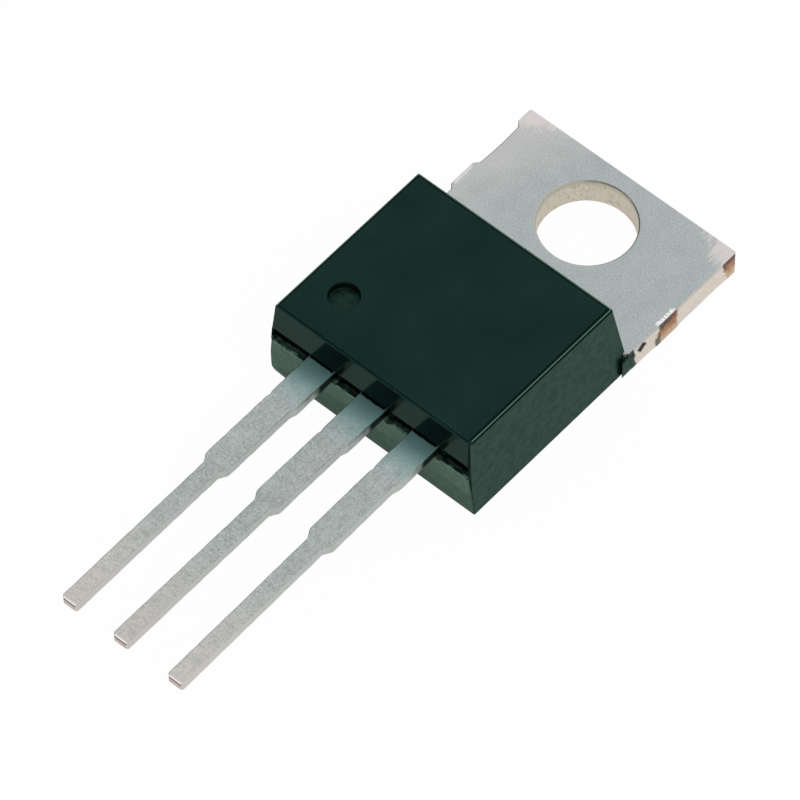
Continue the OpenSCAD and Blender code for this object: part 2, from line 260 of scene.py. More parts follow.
class StageSizes(bpy.types.PropertyGroup):
    """Camera and lamps."""

    azimuth: angle("Azimuth", "Direction that the camera stands in", 41.157)
    elevation: angle("Elevation", "Height of the camera above the horizon", 55.301)
    distance: length("Distance", "Distance from the camera to what it looks at", 322.1)
    focal: amount("Focal length", "Focal length in millimetres on a 36 mm frame", 388.63, 500.0)
    aim_left: length("Aim left", "Distance that the camera looks left of the part's middle", 1.8083)
    aim_down: length("Aim down", "Distance that the camera looks under the part's middle", 2.1514)
    key: amount("Key lamp", "Power of the key lamp in watts", 0.9, 5.0)
    fill: amount("Fill light", "Strength of the light from all round", 0.65, 2.0)
    flag: amount("Flag", "Darkness of the flag overhead, which only gloss sees", 0.98, 1.0)
    floor: length("Floor width", "Width of the floor", 3000.0)
    floor_glow: amount("Floor glow", "Share of the floor that is plain white to the eye", 0.97, 1.0)
    floor_gloss: amount("Floor in gloss", "Share of that white that the part's gloss shows", 0.62, 1.0)
    lamp_size: length("Lamp size", "Width of the key lamp", 450.0)


# ---------------------------------------------------------------- surfaces


def lattice_noise(u, v, seed, size=97):
    """Smooth noise from -1 to 1: random heights on a lattice, joined both ways by the cubic 3t^2 - 2t^3."""
    heights = np.random.RandomState(seed).uniform(-1.0, 1.0, (size, size))
    column, row = np.floor(u).astype(int), np.floor(v).astype(int)
    across, up = smooth_step(0.0, 1.0, u - column), smooth_step(0.0, 1.0, v - row)
    left, right = column % size, (column + 1) % size
    low, high = row % size, (row + 1) % size
    lower = heights[left, low] * (1.0 - across) + heights[right, low] * across
    upper = heights[left, high] * (1.0 - across) + heights[right, high] * across
    return lower * (1.0 - up) + upper * up


def line_noise(along, seed):
    """The same smooth noise along a line."""
    return lattice_noise(along, 0.0 * along, seed)


def smooth_step(low, high, value):
    """0 below low, 1 above high, and the cubic 3t^2 - 2t^3 between."""
    t = np.clip((value - low) / (high - low), 0.0, 1.0)
    return t * t * (3.0 - 2.0 * t)


def smooth_fall(low, high, value):
    """1 below low, 0 above high, and the same cubic between."""
    return 1.0 - smooth_step(low, high, value)


def smooth_hill(low, full, full_end, high, value):
    """0 outside low to high, 1 from full to full_end, with the same cubic on both flanks."""
    return smooth_step(low, full, value) * smooth_fall(full_end, high, value)


def rounded(points, reaches, steps=4, guard=0.012):
    """Rows along a bent line, with each inner corner rounded by a parabola.

    It starts and ends a reach away from the corner, B(t) = (1-t)^2 a + 2t(1-t) corner + t^2 b, with a
    guard row on either side to keep the flats flat.
    """
    points = np.asarray(points, float)
    rows = [points[:1]]
    t = np.linspace(0.0, 1.0, steps + 1)[:, None]
    for before, corner, after, reach in zip(points[:-2], points[1:-1], points[2:], reaches):
        back = (before - corner) / np.linalg.norm(before - corner)
        on = (after - corner) / np.linalg.norm(after - corner)
        a, b = corner + back * reach, corner + on * reach
        rows.append((a + back * guard)[None])
        rows.append((1 - t) ** 2 * a + 2 * t * (1 - t) * corner + t ** 2 * b)
        rows.append((b + on * guard)[None])
    rows.append(points[-1:])
    return np.concatenate(rows)


class Skin:
    """A closed surface: a grid of points whose columns join up.

    Its first and last rows are each closed by a pole, or join each other where no pole is given.
    """

    def __init__(self, grid, first=None, last=None):
        rows, columns = grid.shape[:2]
        self.points = grid.reshape(-1, 3)
        index = np.arange(rows * columns).reshape(rows, columns)
        ringed = first is None and last is None
        lower = index if ringed else index[:-1]
        upper = np.roll(index, -1, axis=0) if ringed else index[1:]
        self.quads = np.stack(
            [lower, np.roll(lower, -1, axis=1), np.roll(upper, -1, axis=1), upper], axis=-1
        ).reshape(-1, 4)
        self.tris = np.zeros((0, 3), int)
        for pole, ring in ((first, index[0]), (last, index[-1][::-1])):
            if pole is not None:
                self.add_pole(pole, ring)
        if self.volume() < 0.0:
            self.quads = self.quads[:, ::-1]
            self.tris = self.tris[:, ::-1]

    def add_pole(self, pole, ring):
        """Closes a ring with a fan of triangles to one point."""
        centre = len(self.points)
        self.points = np.vstack([self.points, pole])
        fan = np.stack([np.roll(ring, -1), ring, np.full(len(ring), centre)], axis=-1)
        self.tris = np.vstack([self.tris, fan])

    def volume(self):
        """Signed volume: the sum of a . (b x c) / 6 over all triangles."""
        tris = np.vstack([self.quads[:, [0, 1, 2]], self.quads[:, [0, 2, 3]], self.tris])
        a, b, c = (self.points[tris[:, k]] for k in range(3))
        return float((a * np.cross(b, c)).sum() / 6.0)


def make_piece(name, skins, replaced, material):
    """One object from several closed skins, standing for a CAD node."""
    points = np.vstack([skin.points for skin in skins]) * MM
    starts = np.cumsum([0] + [len(skin.points) for skin in skins[:-1]])
    faces = []
    for skin, start in zip(skins, starts):
        faces += (skin.quads + start).tolist() + (skin.tris + start).tolist()
    mesh = bpy.data.meshes.new(name)
    mesh.from_pydata(points.tolist(), [], faces)
    form = bmesh.new()
    form.from_mesh(mesh)
    bmesh.ops.dissolve_degenerate(form, dist=NO_LENGTH, edges=form.edges[:])
    form.to_mesh(mesh)
    form.free()
    mesh.polygons.foreach_set("use_smooth", np.ones(len(mesh.polygons), bool))
    mesh.update()
    mesh.set_sharp_from_angle(angle=SHARP)
    piece = bpy.data.objects.new(name, mesh)
    bpy.context.scene.collection.objects.link(piece)
    mesh.materials.append(material)
    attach(piece, "root")
    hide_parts(replaced)
    return piece


class Round:
    """Columns round an upright four-sided form with rounded corners: front, right, back, left.

    Each straight side is followed by its corner. A straight column holds its share along its side,
    and a corner column its share of the quarter turn and its angle. Sides are numbered 0 to 3 and
    corners 4 to 7, from the front and the corner after it.
    """

    def __init__(self, front, side, back, corner=6):
        sides, shares, angles = [], [], []
        turn = np.linspace(0.0, 1.0, corner)
        for number, count in enumerate([front, side, back, side]):
            sides += [np.full(count, number), np.full(corner, number + 4)]
            shares += [(np.arange(count) + 0.5) / count, turn]
            angles += [np.zeros(count), np.pi / 2 * (number - 1 + turn)]
        self.side = np.concatenate(sides)
        self.share = np.concatenate(shares)
        self.angle = np.concatenate(angles)

    def of(self, *numbers):
        """True for the columns on the given sides or corners."""
        return np.isin(self.side, numbers)

    def sides(self, half, front, back, radius):
        """The x and y of every column: straight stretches between quarter circles of the given radius."""
        s, straight = self.share, [self.of(k) for k in range(4)]
        x_in, low, high = half - radius, front + radius, back - radius
        out, on = radius * np.cos(self.angle), radius * np.sin(self.angle)
        x = np.select(
            [*straight, self.of(4, 5)],
            [x_in * (2 * s - 1), half + 0 * s, x_in * (1 - 2 * s), -half + 0 * s, x_in + out],
            -x_in + out,
        )
        y = np.select(
            [*straight, self.of(4, 7)],
            [front + 0 * s, low + (high - low) * s, back + 0 * s, high - (high - low) * s, low + on],
            high + on,
        )
        return x, y


# ---------------------------------------------------------------- shader maths


class Value:
    """A shader value or colour: sums and products of wrapped sockets add the Math nodes for them."""

    def __init__(self, shader, socket):
        self.shader = shader
        self.socket = socket

    def _math(self, operation, first, second=0.0):
        return self.shader.add("ShaderNodeMath", {"operation": operation}, {0: first, 1: second})

    def __add__(self, other):
        return self._math("ADD", self, other)

    def __sub__(self, other):
        return self._math("SUBTRACT", self, other)

    def __mul__(self, other):
        return self._math("MULTIPLY", self, other)

    def __truediv__(self, other):
        return self._math("DIVIDE", self, other)

    def __rsub__(self, other):
        return self._math("SUBTRACT", other, self)

    def __neg__(self):
        return self._math("SUBTRACT", 0.0, self)

    __radd__ = __add__
    __rmul__ = __mul__

    def least(self, other):
        """The smaller of two values."""
        return self._math("MINIMUM", self, other)

    def most(self, other):
        """The larger of two values."""
        return self._math("MAXIMUM", self, other)

    def size(self):
        """The value without its sign."""
        return self._math("ABSOLUTE", self)

    def rise(self, low, high):
        """0 below low, 1 above high, eased between."""
        return self.shader.add(
            "ShaderNodeMapRange",
            {"interpolation_type": "SMOOTHSTEP"},
            {"Value": self, "From Min": low, "From Max": high, "To Min": 0.0, "To Max": 1.0},
        )

    def fall(self, low, high):
        """1 below low, 0 above high, eased between."""
        return 1.0 - self.rise(low, high)

    def hill(self, low, full, full_end, high):
        """0 outside low to high, 1 from full to full_end, eased on both flanks."""
        return self.rise(low, full) * self.fall(full_end, high)


class Shader:
    """A material and its node tree, with one method that adds any node."""

    def __init__(self, name, owner=None):
        self.material = owner or bpy.data.materials.new(name)
        self.material.use_nodes = True
        self.tree = self.material.node_tree
        self.tree.nodes.clear()

    def add(self, kind, settings=None, inputs=None, output=0):
        """Adds a node, makes its settings, fills or links its inputs, and returns one output."""
        node = self.tree.nodes.new(kind)
        for name, value in (settings or {}).items():
            setattr(node, name, value)
        for name, value in (inputs or {}).items():
            if isinstance(value, Value):
                self.tree.links.new(value.socket, node.inputs[name])
            else:
                node.inputs[name].default_value = value
        return Value(self, node.outputs[output]) if node.outputs else None

    def parts(self, vector):
        """The three parts of a vector."""
        outputs = self.add("ShaderNodeSeparateXYZ", inputs={0: vector}).socket.node.outputs
        return [Value(self, output) for output in outputs]

    def place(self):
        """Object coordinates in millimetres, as a vector and its three parts."""
        where = self.add("ShaderNodeTexCoord", output="Object")
        scaled = self.add("ShaderNodeVectorMath", {"operation": "SCALE"}, {0: where, "Scale": 1.0 / MM})
        return scaled, *self.parts(scaled)

    def noise(self, where, scale, detail=2.0, rough=0.5, stretch=None):
        """Noise from 0 to 1 with scale grains to the millimetre, stretched along the axes if asked."""
        if stretch:
            where = self.add("ShaderNodeVectorMath", {"operation": "MULTIPLY"}, {0: where, 1: stretch})
        return self.add(
            "ShaderNodeTexNoise", {"noise_dimensions": "3D"},
            {"Vector": where, "Scale": scale, "Detail": detail, "Roughness": rough},
        )

    def blend(self, share, first, second):
        """A colour between two, by a share from 0 to 1."""
        return self.add(
            "ShaderNodeMix", {"data_type": "RGBA"},
            {0: share, 6: self.rgba(first), 7: self.rgba(second)}, output=2,
        )

    @staticmethod
    def rgba(value):
        """A colour with its alpha, or the wrapped socket as it is."""
        return value if isinstance(value, Value) else (*value[:3], 1.0)

    def bump(self, height, depth_mm):
        """A normal from a height of 0 to 1 over a depth in millimetres."""
        inputs = {"Height": height, "Distance": depth_mm * MM, "Strength": 1.0}
        return self.add("ShaderNodeBump", inputs=inputs)

    def close(self, surface):
        """Links a shader to the material's output and returns the material."""
        self.add("ShaderNodeOutputMaterial", inputs={"Surface": surface})
        return self.material

    def surface(self, base, metallic, rough, normal):
        """A material of one plain glossy shader."""
        return self.close(self.add("ShaderNodeBsdfPrincipled", inputs={
            "Base Color": base, "Metallic": metallic, "Roughness": rough, "Normal": normal,
        }))


# ---------------------------------------------------------------- finishes


def swelling(z, rise):
    """Share of the left front corner's swelling at a height in millimetres, for arrays or sockets.

    It grows slowly down the whole corner and faster over the lower half, and draws in at the foot.
    rise is the eased step from 0 to 1 that fits the kind of z.
    """
    share = 0.45 * (1.0 - rise(2.2, 4.8, z)) + 0.55 * (1.0 - rise(1.2, 2.6, z))
    return share * rise(-0.15, 0.4, z)


def moulding_finish(paint):
    """Black moulding compound: filler shows as fine grain and blotches, and upright faces are rougher.

    Painted shade, mixed in as a dark diffuse, darkens the grooves beside the bevel, the torn strip, the sunk
    line, the mark's wall and the upright front edges; the front over the leads is painted near black as
    painted shade, and painted light lightens the pads under the strip, their torn rim and the bevel's middle.
    A thin coat without gloss of its own tints the gloss under it teal.
    """
    case = in_mm(settings().case)
    shader = Shader("moulding_compound")
    where, x, y, z = shader.place()
    line_top, ledge = line_heights(case)
    grain = shader.noise(where, 22.0, 3.0, 0.6)
    blotch = shader.noise(where, 3.2, 3.0, 0.6)
    cloud = shader.noise(where, 0.45)
    specks = shader.noise(where, 30.0, 1.0).rise(0.66, 0.74)
    upright = z.fall(CASE_TOP - 0.12, CASE_TOP - 0.02)
    mottled = blotch.rise(0.36, 0.65) * upright
    share = (grain * 0.5 + cloud * 0.5).rise(0.3, 0.75) * 0.5 + specks * 0.3 + mottled * 0.6
    base = shader.blend(share.least(1.0), paint.case, paint.case_fine)

    # The front face, up to the upright edges at its sides
    swollen = swelling(z, lambda low, high, value: value.rise(low, high)) * x.fall(-3.0, -2.5)
    wall_at = CASE_HALF - z * math.tan(case.side_draft) + swollen * (SWELL_SIDE * case.swell)
    past_wall = x.size() - wall_at
    at_front = y.fall(CASE_FRONT + 0.2, CASE_FRONT + 0.26) * past_wall.fall(-0.05, -0.02)
    # Painted light: the pads under the flash strip are painted lighter olive, in blotches like the rough
    # compound
    pads = at_front * z.fall(LEAD_BASE - 0.06, LEAD_BASE)
    base = shader.blend(pads * (blotch * 0.5 + 0.6), base, paint.case_pad_light)
    # Painted shade: the front face from the leads up is painted near black
    base = shader.blend(at_front * z.rise(LEAD_BASE, LEAD_BASE + 0.1) * upright, base, paint.case_front_shade)
    # Painted highlight along the torn rim over the pads
    rim = pads * z.rise(LEAD_BASE - 0.16, LEAD_BASE - 0.08) * blotch.rise(0.42, 0.55)
    base = shader.blend(rim * 0.8, base, paint.case_rim_highlight)

    # Painted highlight along the middle of the bevel at the sides, between two lines of painted shade
    bevel = z.rise(CASE_TOP - 1.6 * case.bevel, CASE_TOP - 1.4 * case.bevel)
    bevel = bevel * z.fall(CASE_TOP - 0.01, CASE_TOP - 0.002) * y.rise(CASE_FRONT + 0.24, CASE_FRONT + 0.27)
    middle = z.hill(*(CASE_TOP - down * case.bevel for down in (0.8, 0.68, 0.4, 0.28)))
    base = shader.blend(middle * bevel, base, paint.case_bevel_highlight)

    # Painted shade, as a dark matt diffuse, on the upright edges, the flash strip, the sunk line and, thinly,
    # the sides and the front
    past_edge = y.rise(CASE_FRONT + 0.1, CASE_FRONT + 0.13)
    upright_edge = past_wall.rise(-0.075, -0.05) * (1.0 - past_edge) * upright
    strip = at_front * z.hill(LEAD_BASE - 0.04, LEAD_BASE + 0.04, ledge - 0.03, ledge - 0.01)
    strip = strip * (blotch * 0.45 + 0.3) * (1.0 - x.fall(-3.9, -3.4) * 0.6)
    sunk = at_front * z.hill(ledge - 0.03, ledge - 0.01, line_top - 0.03, line_top - 0.01)
    smooth_front = at_front * z.rise(line_top, line_top + 0.02)
    thin = past_edge * upright * 0.16 + (1.0 - mottled) * upright * 0.12
    mottle_and_shade = (bevel * (1.0 - middle)).most(upright_edge * 0.75).most(strip)
    mottle_and_shade = mottle_and_shade.most(sunk * 0.95).most(thin).most(smooth_front * upright * 0.24)

    # Painted shade on the wall of the ejector mark, in the same dark matt diffuse
    off_x, off_y = x + (CASE_HALF - case.mark_side), y - (CASE_FRONT + case.mark_front)
    reaches = (case.mark_d / 2 + past for past in (-0.06, -0.03, 0.0, 0.02))
    ring = (off_x * off_x + off_y * off_y).hill(*(reach ** 2 for reach in reaches))
    deep = CASE_TOP - case.mark_depth
    in_mark = z.hill(deep - 0.2 * case.mark_depth, deep, CASE_TOP - 0.03, CASE_TOP - 0.01)
    mottle_and_shade = mottle_and_shade.most(ring * in_mark * 0.9)

    rough = (grain * 0.12 + blotch * 0.1 * upright + 0.2) * (1.0 - smooth_front * 0.75)
    height = grain * 0.5 + shader.noise(where, 7.0) * 0.3 + blotch * upright * 0.6
    normal = shader.bump(height, 0.004)
    glossy = shader.add("ShaderNodeBsdfPrincipled", inputs={
        "Base Color": base, "Roughness": rough, "Normal": normal,
        "IOR": 1.29, "Specular Tint": (0.515, 1.0, 0.96, 1.0),
        "Coat Weight": 0.35, "Coat Roughness": 0.3, "Coat IOR": 1.0, "Coat Tint": (0.35, 1.0, 0.85, 1.0),
    })
    # Painted shade: a dark matt diffuse mixed over the glossy compound
    shade_colour = shader.rgba(paint.case_painted_shade)
    matt = shader.add("ShaderNodeBsdfDiffuse", inputs={"Color": shade_colour, "Normal": normal})
    return shader.close(shader.add("ShaderNodeMixShader", inputs={0: mottle_and_shade.least(0.96), 1: glossy, 2: matt}))


def left_edge_shade(shader):
    """1 on the rolled edges that face left, which get painted shade."""
    sideways, _, upwards = shader.parts(shader.add("ShaderNodeTexCoord", output="Normal"))
    return (-sideways).rise(0.12, 0.35) * upwards.rise(0.15, 0.3)


def lead_look(shader, paint, where, y, z):
    """Colour, bump height and metal share of a plated lead.

    It carries a painted teal reflection of the moulding near it, is mottled along its length, and is warm
    with faint bands towards the tip.
    """
    fine = shader.noise(where, 15.0, 3.0, 0.7)
    bands = shader.noise(where, 3.4, 3.0, 0.6, (0.7, 2.2, 1.0))
    mottle = shader.noise(where, 2.6, 3.0)
    spots = shader.noise(where, 9.0, 3.0, 0.6, (1.0, 0.5, 1.0))
    warmth = ((mottle - 0.5) * 3.0 - y).rise(19.0, 26.0)
    base = shader.blend(warmth, paint.lead, paint.lead_warm)
    mottle_and_shade = (fine * 0.8 + mottle * 0.2).rise(0.33, 0.69) * (0.95 - (-y).rise(18.5, 25.5) * 0.45)
    mottle_and_shade = mottle_and_shade + bands.rise(0.45, 0.75) * ((-y).rise(17.0, 21.0) * 0.3)
    base = shader.blend(mottle_and_shade.least(1.0), base, paint.lead_dull)
    # Painted reflection of the moulding: the tin turns teal towards the moulding
    base = shader.blend(y.rise(CASE_FRONT - 2.4, CASE_FRONT) * 0.85, base, paint.lead_root_reflection)

    # The sides: an olive mottle, warmer towards the tip and dark by the moulding
    wall = z.hill(LEAD_BASE - 0.02, LEAD_BASE + 0.02, LEAD_TOP - 0.09, LEAD_TOP - 0.03)
    tone = shader.blend(spots.rise(0.35, 0.7), paint.lead_side, paint.lead_side_dull)
    tone = shader.blend(z.rise(LEAD_BASE + 0.1, LEAD_TOP - 0.1) * (mottle * 0.3 + 0.2), tone, paint.lead)
    tone = shader.blend(warmth * 0.75, tone, paint.lead_warm)
    shaded = (y + (spots - 0.5) * 0.3).rise(CASE_FRONT - 0.9, CASE_FRONT - 0.65)
    tone = shader.blend(shaded, tone, paint.lead_shaded)
    base = shader.blend(wall, base, tone)

    # The cut face at the tip, darker along its top, with a painted highlight on the bevel over it
    from_tip = y - LEAD_TIP
    tip = wall * from_tip.fall(0.015, 0.04)
    base = shader.blend(tip, base, paint.lead_end)
    base = shader.blend(tip * z.rise(LEAD_TOP - 0.2, LEAD_TOP - 0.16), base, paint.lead_end_dark)
    # Painted highlight on the tip bevel, near white and fading towards its end
    bevel = from_tip.fall(0.1, 0.12) * z.rise(LEAD_TOP - 0.09, LEAD_TOP - 0.08)
    bright = shader.blend(from_tip.rise(0.03, 0.06), paint.lead_tip_highlight, paint.lead_tip_highlight_end)
    base = shader.blend(bevel, base, bright)
    base = shader.blend(left_edge_shade(shader), base, paint.left_edge_shade_colour)
    # Less metal near the moulding lets the painted teal reflection show; none on the tip bevel's painted
    # highlight
    metal = (1.0 - y.rise(CASE_FRONT - 1.3, CASE_FRONT) * 0.36) * (1.0 - bevel)
    return base, fine * 0.6 + bands * 0.4, metal


def lead_finish(paint):
    """Matt tin on the outer leads."""
    shader = Shader("tinned_lead")
    where, _, y, z = shader.place()
    base, height, metal = lead_look(shader, paint, where, y, z)
    return shader.surface(base, metal, height * 0.15 + 0.3, shader.bump(height, 0.007))


def tab_finish(paint):
    """Matt tin over copper: grain on the faces, punched edges painted brighter as painted light, rubbed
    corners and bare stubs.

    The centre lead is of one piece with the tab, and takes the leads' look outside the moulding.
    """
    tab = in_mm(settings().tab)
    shader = Shader("tinned_copper")
    where, x, y, z = shader.place()
    side, wall_x, thick = x.size(), tab.width / 2, tab.thick
    grain = shader.noise(where, 15.0, 3.0, 0.7)
    mottle = shader.noise(where, 1.3, 3.0)
    ragged = shader.noise(where, 6.0)
    jagged = shader.noise(where, 9.0, 2.0, 0.6, (0.5, 1.6, 0.5))
    fingers = shader.noise(where, 3.2, 3.0, 0.6, (2.6, 0.7, 0.4))
    face = shader.blend((grain * 0.85 + mottle * 0.15).rise(0.36, 0.64), paint.tin_dull, paint.tin)
    face = shader.blend((y * 0.4 - x + mottle * 1.5).rise(2.5, 6.5) * 0.4, face, paint.tin_bright)

    # Corners rubbed bright, with fingers that run along the tab, and a broken burr along the sides, its glint
    # painted near white as a painted highlight
    rubbed = ((side - wall_x) * 0.75 + (y - TAB_END) * 0.95 + (fingers - 0.5) * 2.2).rise(-1.35, -0.55)
    face = shader.blend(rubbed * 0.85, face, paint.tin_bright)
    ridge = (side + (ragged - 0.5) * 0.12).rise(wall_x - 0.06, wall_x - 0.03) * z.rise(thick - 0.04, thick)
    ridge = ridge * (y + (ragged - 0.5) * 0.5).hill(-1.95, -1.8, -1.0, -0.75)
    on_right = x.rise(0.0, 1.0)
    broken = jagged.fall(0.36, 0.5) * (on_right * 0.5 + 0.35)
    face = shader.blend(ridge * (on_right * 0.45 + 0.5) * (1.0 - broken), face, paint.burr_highlight)

    # Punched sides, painted brighter and warmer than the top as painted light, and duller under the rim
    wall = z.hill(0.003, 0.03, thick - 0.07, thick - 0.015)
    tone = shader.blend((grain * 0.5 + ragged * 0.5).rise(0.32, 0.72), paint.lit_tin_edge, paint.lit_tin_edge_dull)
    tone = shader.blend(z.rise(thick - 0.3, thick - 0.14) * (ragged * 0.7 + 0.15), tone, paint.tin_dull)
    face = shader.blend(wall, face, tone)

    # Bare copper on the cuts: dark along the top, orange in the middle, pale and smeared at the bottom
    up = z / thick
    uneven = (mottle - 0.5) * 0.5 + (grain - 0.5) * 0.3 + (ragged - 0.5) * 0.8
    level = up + uneven
    copper = shader.blend(level.rise(0.15, 0.5), paint.copper_pale, paint.copper)
    copper = shader.blend(level.rise(0.52, 0.85), copper, paint.copper_dark)
    near_low = tab.near_gap - tab.foot
    near_high = near_low + tab.near_len
    shift = y + uneven * 0.35
    near = (shift - up * 0.1).rise(near_low + 0.02, near_low + 0.1)
    near = near * (shift + up * 0.1).fall(near_high - 0.06, near_high + 0.02)
    far = (shift + up * 0.35).rise(TAB_END - 0.5, TAB_END - 0.43)
    on_wall = side.rise(wall_x - 0.02, wall_x + 0.02) * z.fall(thick - 0.06, thick - 0.02)
    face = shader.blend((near + far).least(1.0) * on_wall, face, copper)

    # Compound smeared beside the near cut and at the foot, and the tool scar
    smear = (y + uneven * 0.3).hill(near_low - 0.08, near_low, near_low + 0.22, near_low + 0.3)
    smear = smear * level.fall(0.45, 0.6) * on_wall
    face = shader.blend(smear * 0.95, face, paint.stain)
    foot_end = tab.notch_r - tab.foot
    at_foot = (y + (ragged - 0.5) * 0.5 + up * 0.1).fall(foot_end, foot_end + 0.06) * on_wall
    face = shader.blend(at_foot, face, paint.foot_smear)
    scar = x.rise(wall_x - 0.06, wall_x) * scar_mask(tab, y, z, uneven)
    face = shader.blend(scar, face, paint.scar)

    # The wall of the screw hole, painted ivory and brighter than the top as painted light
    radius = tab.hole_d / 2
    hole_wall = (x * x + y * y).fall((radius + 0.02) ** 2, (radius + 0.05) ** 2)
    bore = shader.blend(grain.rise(0.4, 0.62) * 0.6, paint.bore, paint.lit_tin_edge)
    bore = shader.blend(jagged.rise(0.52, 0.66) * 0.4, bore, paint.bore_speck)
    bore = shader.blend(z.rise(thick - 0.35, thick - 0.12) * 0.55, bore, paint.bore_top)
    face = shader.blend(hole_wall, face, bore)
    face = shader.blend(left_edge_shade(shader), face, paint.left_edge_shade_colour)

    lead, _, lead_metal = lead_look(shader, paint, where, y, z)
    on_tab = y.rise(CASE_FRONT + 0.5, CASE_FRONT + 1.0)
    metal = (1.0 - scar * 0.9 - smear * 0.6) * (lead_metal * (1.0 - on_tab) + on_tab)
    rough = grain * 0.12 + 0.34 - rubbed * 0.05
    normal = shader.bump(grain * 0.8 + mottle * 0.2, 0.006)
    return shader.surface(shader.blend(on_tab, lead, face), metal, rough, normal)


def scar_axes(tab, y, z):
    """Distances along and across the slanted tool scar from its middle, for arrays or sockets."""
    y, z = y - (tab.scar_out - tab.foot), z - tab.scar_share * tab.thick
    turned, lifted = math.cos(tab.scar_lean), math.sin(tab.scar_lean)
    return y * turned + z * lifted, z * turned - y * lifted


def scar_mask(tab, y, z, uneven):
    """1 on the scar and a little round it, 0 elsewhere, with an uneven outline."""
    along, across = scar_axes(tab, y, z)
    in_length = (along + uneven * 0.2).size().fall(tab.scar_len / 2 + 0.01, tab.scar_len / 2 + 0.06)
    return in_length * (across + uneven * 0.2).size().fall(tab.scar_h / 2 + 0.07, tab.scar_h / 2 + 0.12)


def inner_finish(name, first, second, metallic, rough):
    """Finish of a piece inside the moulding: two close tones in a fine grain."""
    shader = Shader(name)
    grain = shader.noise(shader.place()[0], 9.0, 3.0)
    base = shader.blend(grain, first, second)
    return shader.surface(base, metallic, grain * 0.1 + rough, shader.bump(grain, 0.004))


# ---------------------------------------------------------------- forms


def in_mm(group):
    """A group's lengths in millimetres and its other values as they are, by name."""
    values = {}
    for name in type(group).__annotations__:
        value = getattr(group, name)
        values[name] = value / MM if group.bl_rna.properties[name].unit == "LENGTH" else value
    return SimpleNamespace(**values)


def split_steps(rows, along, spacing):
    """Splits each step between rows into equal parts no longer than a spacing: a + (b - a) * k / n."""
    counts = np.maximum(1, np.ceil(np.abs(np.diff(along)) / spacing)).astype(int)
    pieces = [
        row + (after - row) * np.arange(count)[:, None] / count
        for row, after, count in zip(rows[:-1], rows[1:], counts)
    ]
    return np.concatenate(pieces + [rows[-1:]])


def line_heights(case):
    """Heights of the sunk line's top and of the flash strip's torn top edge."""
    return LEAD_TOP + case.line_h, LEAD_TOP - case.torn


def case_rows(case, tab):
    """The moulding's profile from a ring on the top face to the pocket for the header, bends rounded.

    Each row is [front height, front y, side height, half width, back y, back height].
    """
    foot, header_front = -tab.foot, CASE_FRONT + tab.cover
    line_top, ledge = line_heights(case)
    lean_side, lean_front = math.tan(case.side_draft), math.tan(case.front_draft)
    lean_under, lean_back = math.tan(case.under_draft), math.tan(case.back_draft)
    bevel, front_bevel, seam = case.bevel, 0.45 * case.bevel, case.seam
    front_top = CASE_FRONT + (CASE_TOP - line_top) * lean_front
    back_top = foot - (CASE_TOP - tab.thick) * lean_back
    top_half = CASE_HALF - CASE_TOP * lean_side
    sunk, strip, relief = (CASE_FRONT + back for back in (case.line_depth, case.strip_back, 0.02))
    inmost, under = 0.35, 0.004

    def level(z_front, y_front, z):
        """A row with the sides and the back on their drafted faces."""
        back = foot - max(z - tab.thick, 0.0) * lean_back
        return [z_front, y_front, z, CASE_HALF - z * lean_side, back, z]

    def rim(front_in, side_in, drop=0.0):
        """A row on the top face: how far it lies in from the front and from the sides, and how far down."""
        z = CASE_TOP - drop
        return [z, front_top + front_in, z, top_half - side_in, back_top - side_in, z]

    def edge_row(front_drop, side_drop, groove=0.0):
        """A row down the front and the sides, with a groove in the sides only."""
        z = CASE_TOP - side_drop
        back = foot - max(z - tab.thick, 0.0) * lean_back - groove
        return [CASE_TOP - front_drop, front_top - front_drop * lean_front,
                z, CASE_HALF - z * lean_side - groove, back, z]

    profile = [
        rim(inmost, inmost),
        rim(front_bevel + 1.4 * seam, bevel + 1.4 * seam),
        rim(front_bevel + 0.8 * seam, bevel + 0.8 * seam, seam),
        rim(front_bevel + 0.2 * seam, bevel + 0.2 * seam),
        rim(front_bevel, bevel),
        edge_row(front_bevel, bevel),
        edge_row(front_bevel + 0.5 * seam, bevel + seam),
        edge_row(front_bevel + seam, bevel + 1.6 * seam, seam),
        edge_row(front_bevel + 1.5 * seam, bevel + 2.2 * seam),
        level(line_top, CASE_FRONT, line_top),
        level(line_top, sunk, line_top - 0.04),
        level(ledge, sunk, LEAD_TOP + 0.04),
        level(ledge, strip, LEAD_TOP),
        level(LEAD_BASE + 0.01, strip, LEAD_BASE + 0.03),
        level(LEAD_BASE - 0.01, relief, LEAD_BASE - 0.01),
        level(tab.thick, relief + (LEAD_BASE - tab.thick) * lean_under, tab.thick),
        [under, CASE_FRONT + LEAD_BASE * lean_under, under, CASE_HALF - 0.002, foot, tab.step_h],
        [under, header_front, under, tab.bare_w / 2, foot, tab.step_h],
        [tab.step_h, header_front, tab.step_h, tab.bare_w / 2, foot, tab.step_h],
    ]
    crease = 0.12 * seam
    reaches = [crease, crease, crease, 0.5 * crease, 0.6 * case.edge, crease, crease, crease]
    reaches += [share * case.edge for share in (1.4, 0.5, 0.5, 0.6, 0.4, 0.7, 1.0, 1.6, 0.3)]
    rows = rounded(profile, reaches, guard=0.0015)
    mid = (rows[1:, 0] + rows[:-1, 0]) / 2
    torn = (mid > LEAD_BASE - 0.5) & (mid < line_top)
    spacing = np.where(torn, 0.04, np.where(mid < LEAD_BASE, 0.15, 0.7))
    return split_steps(rows, rows[:, 0], spacing)


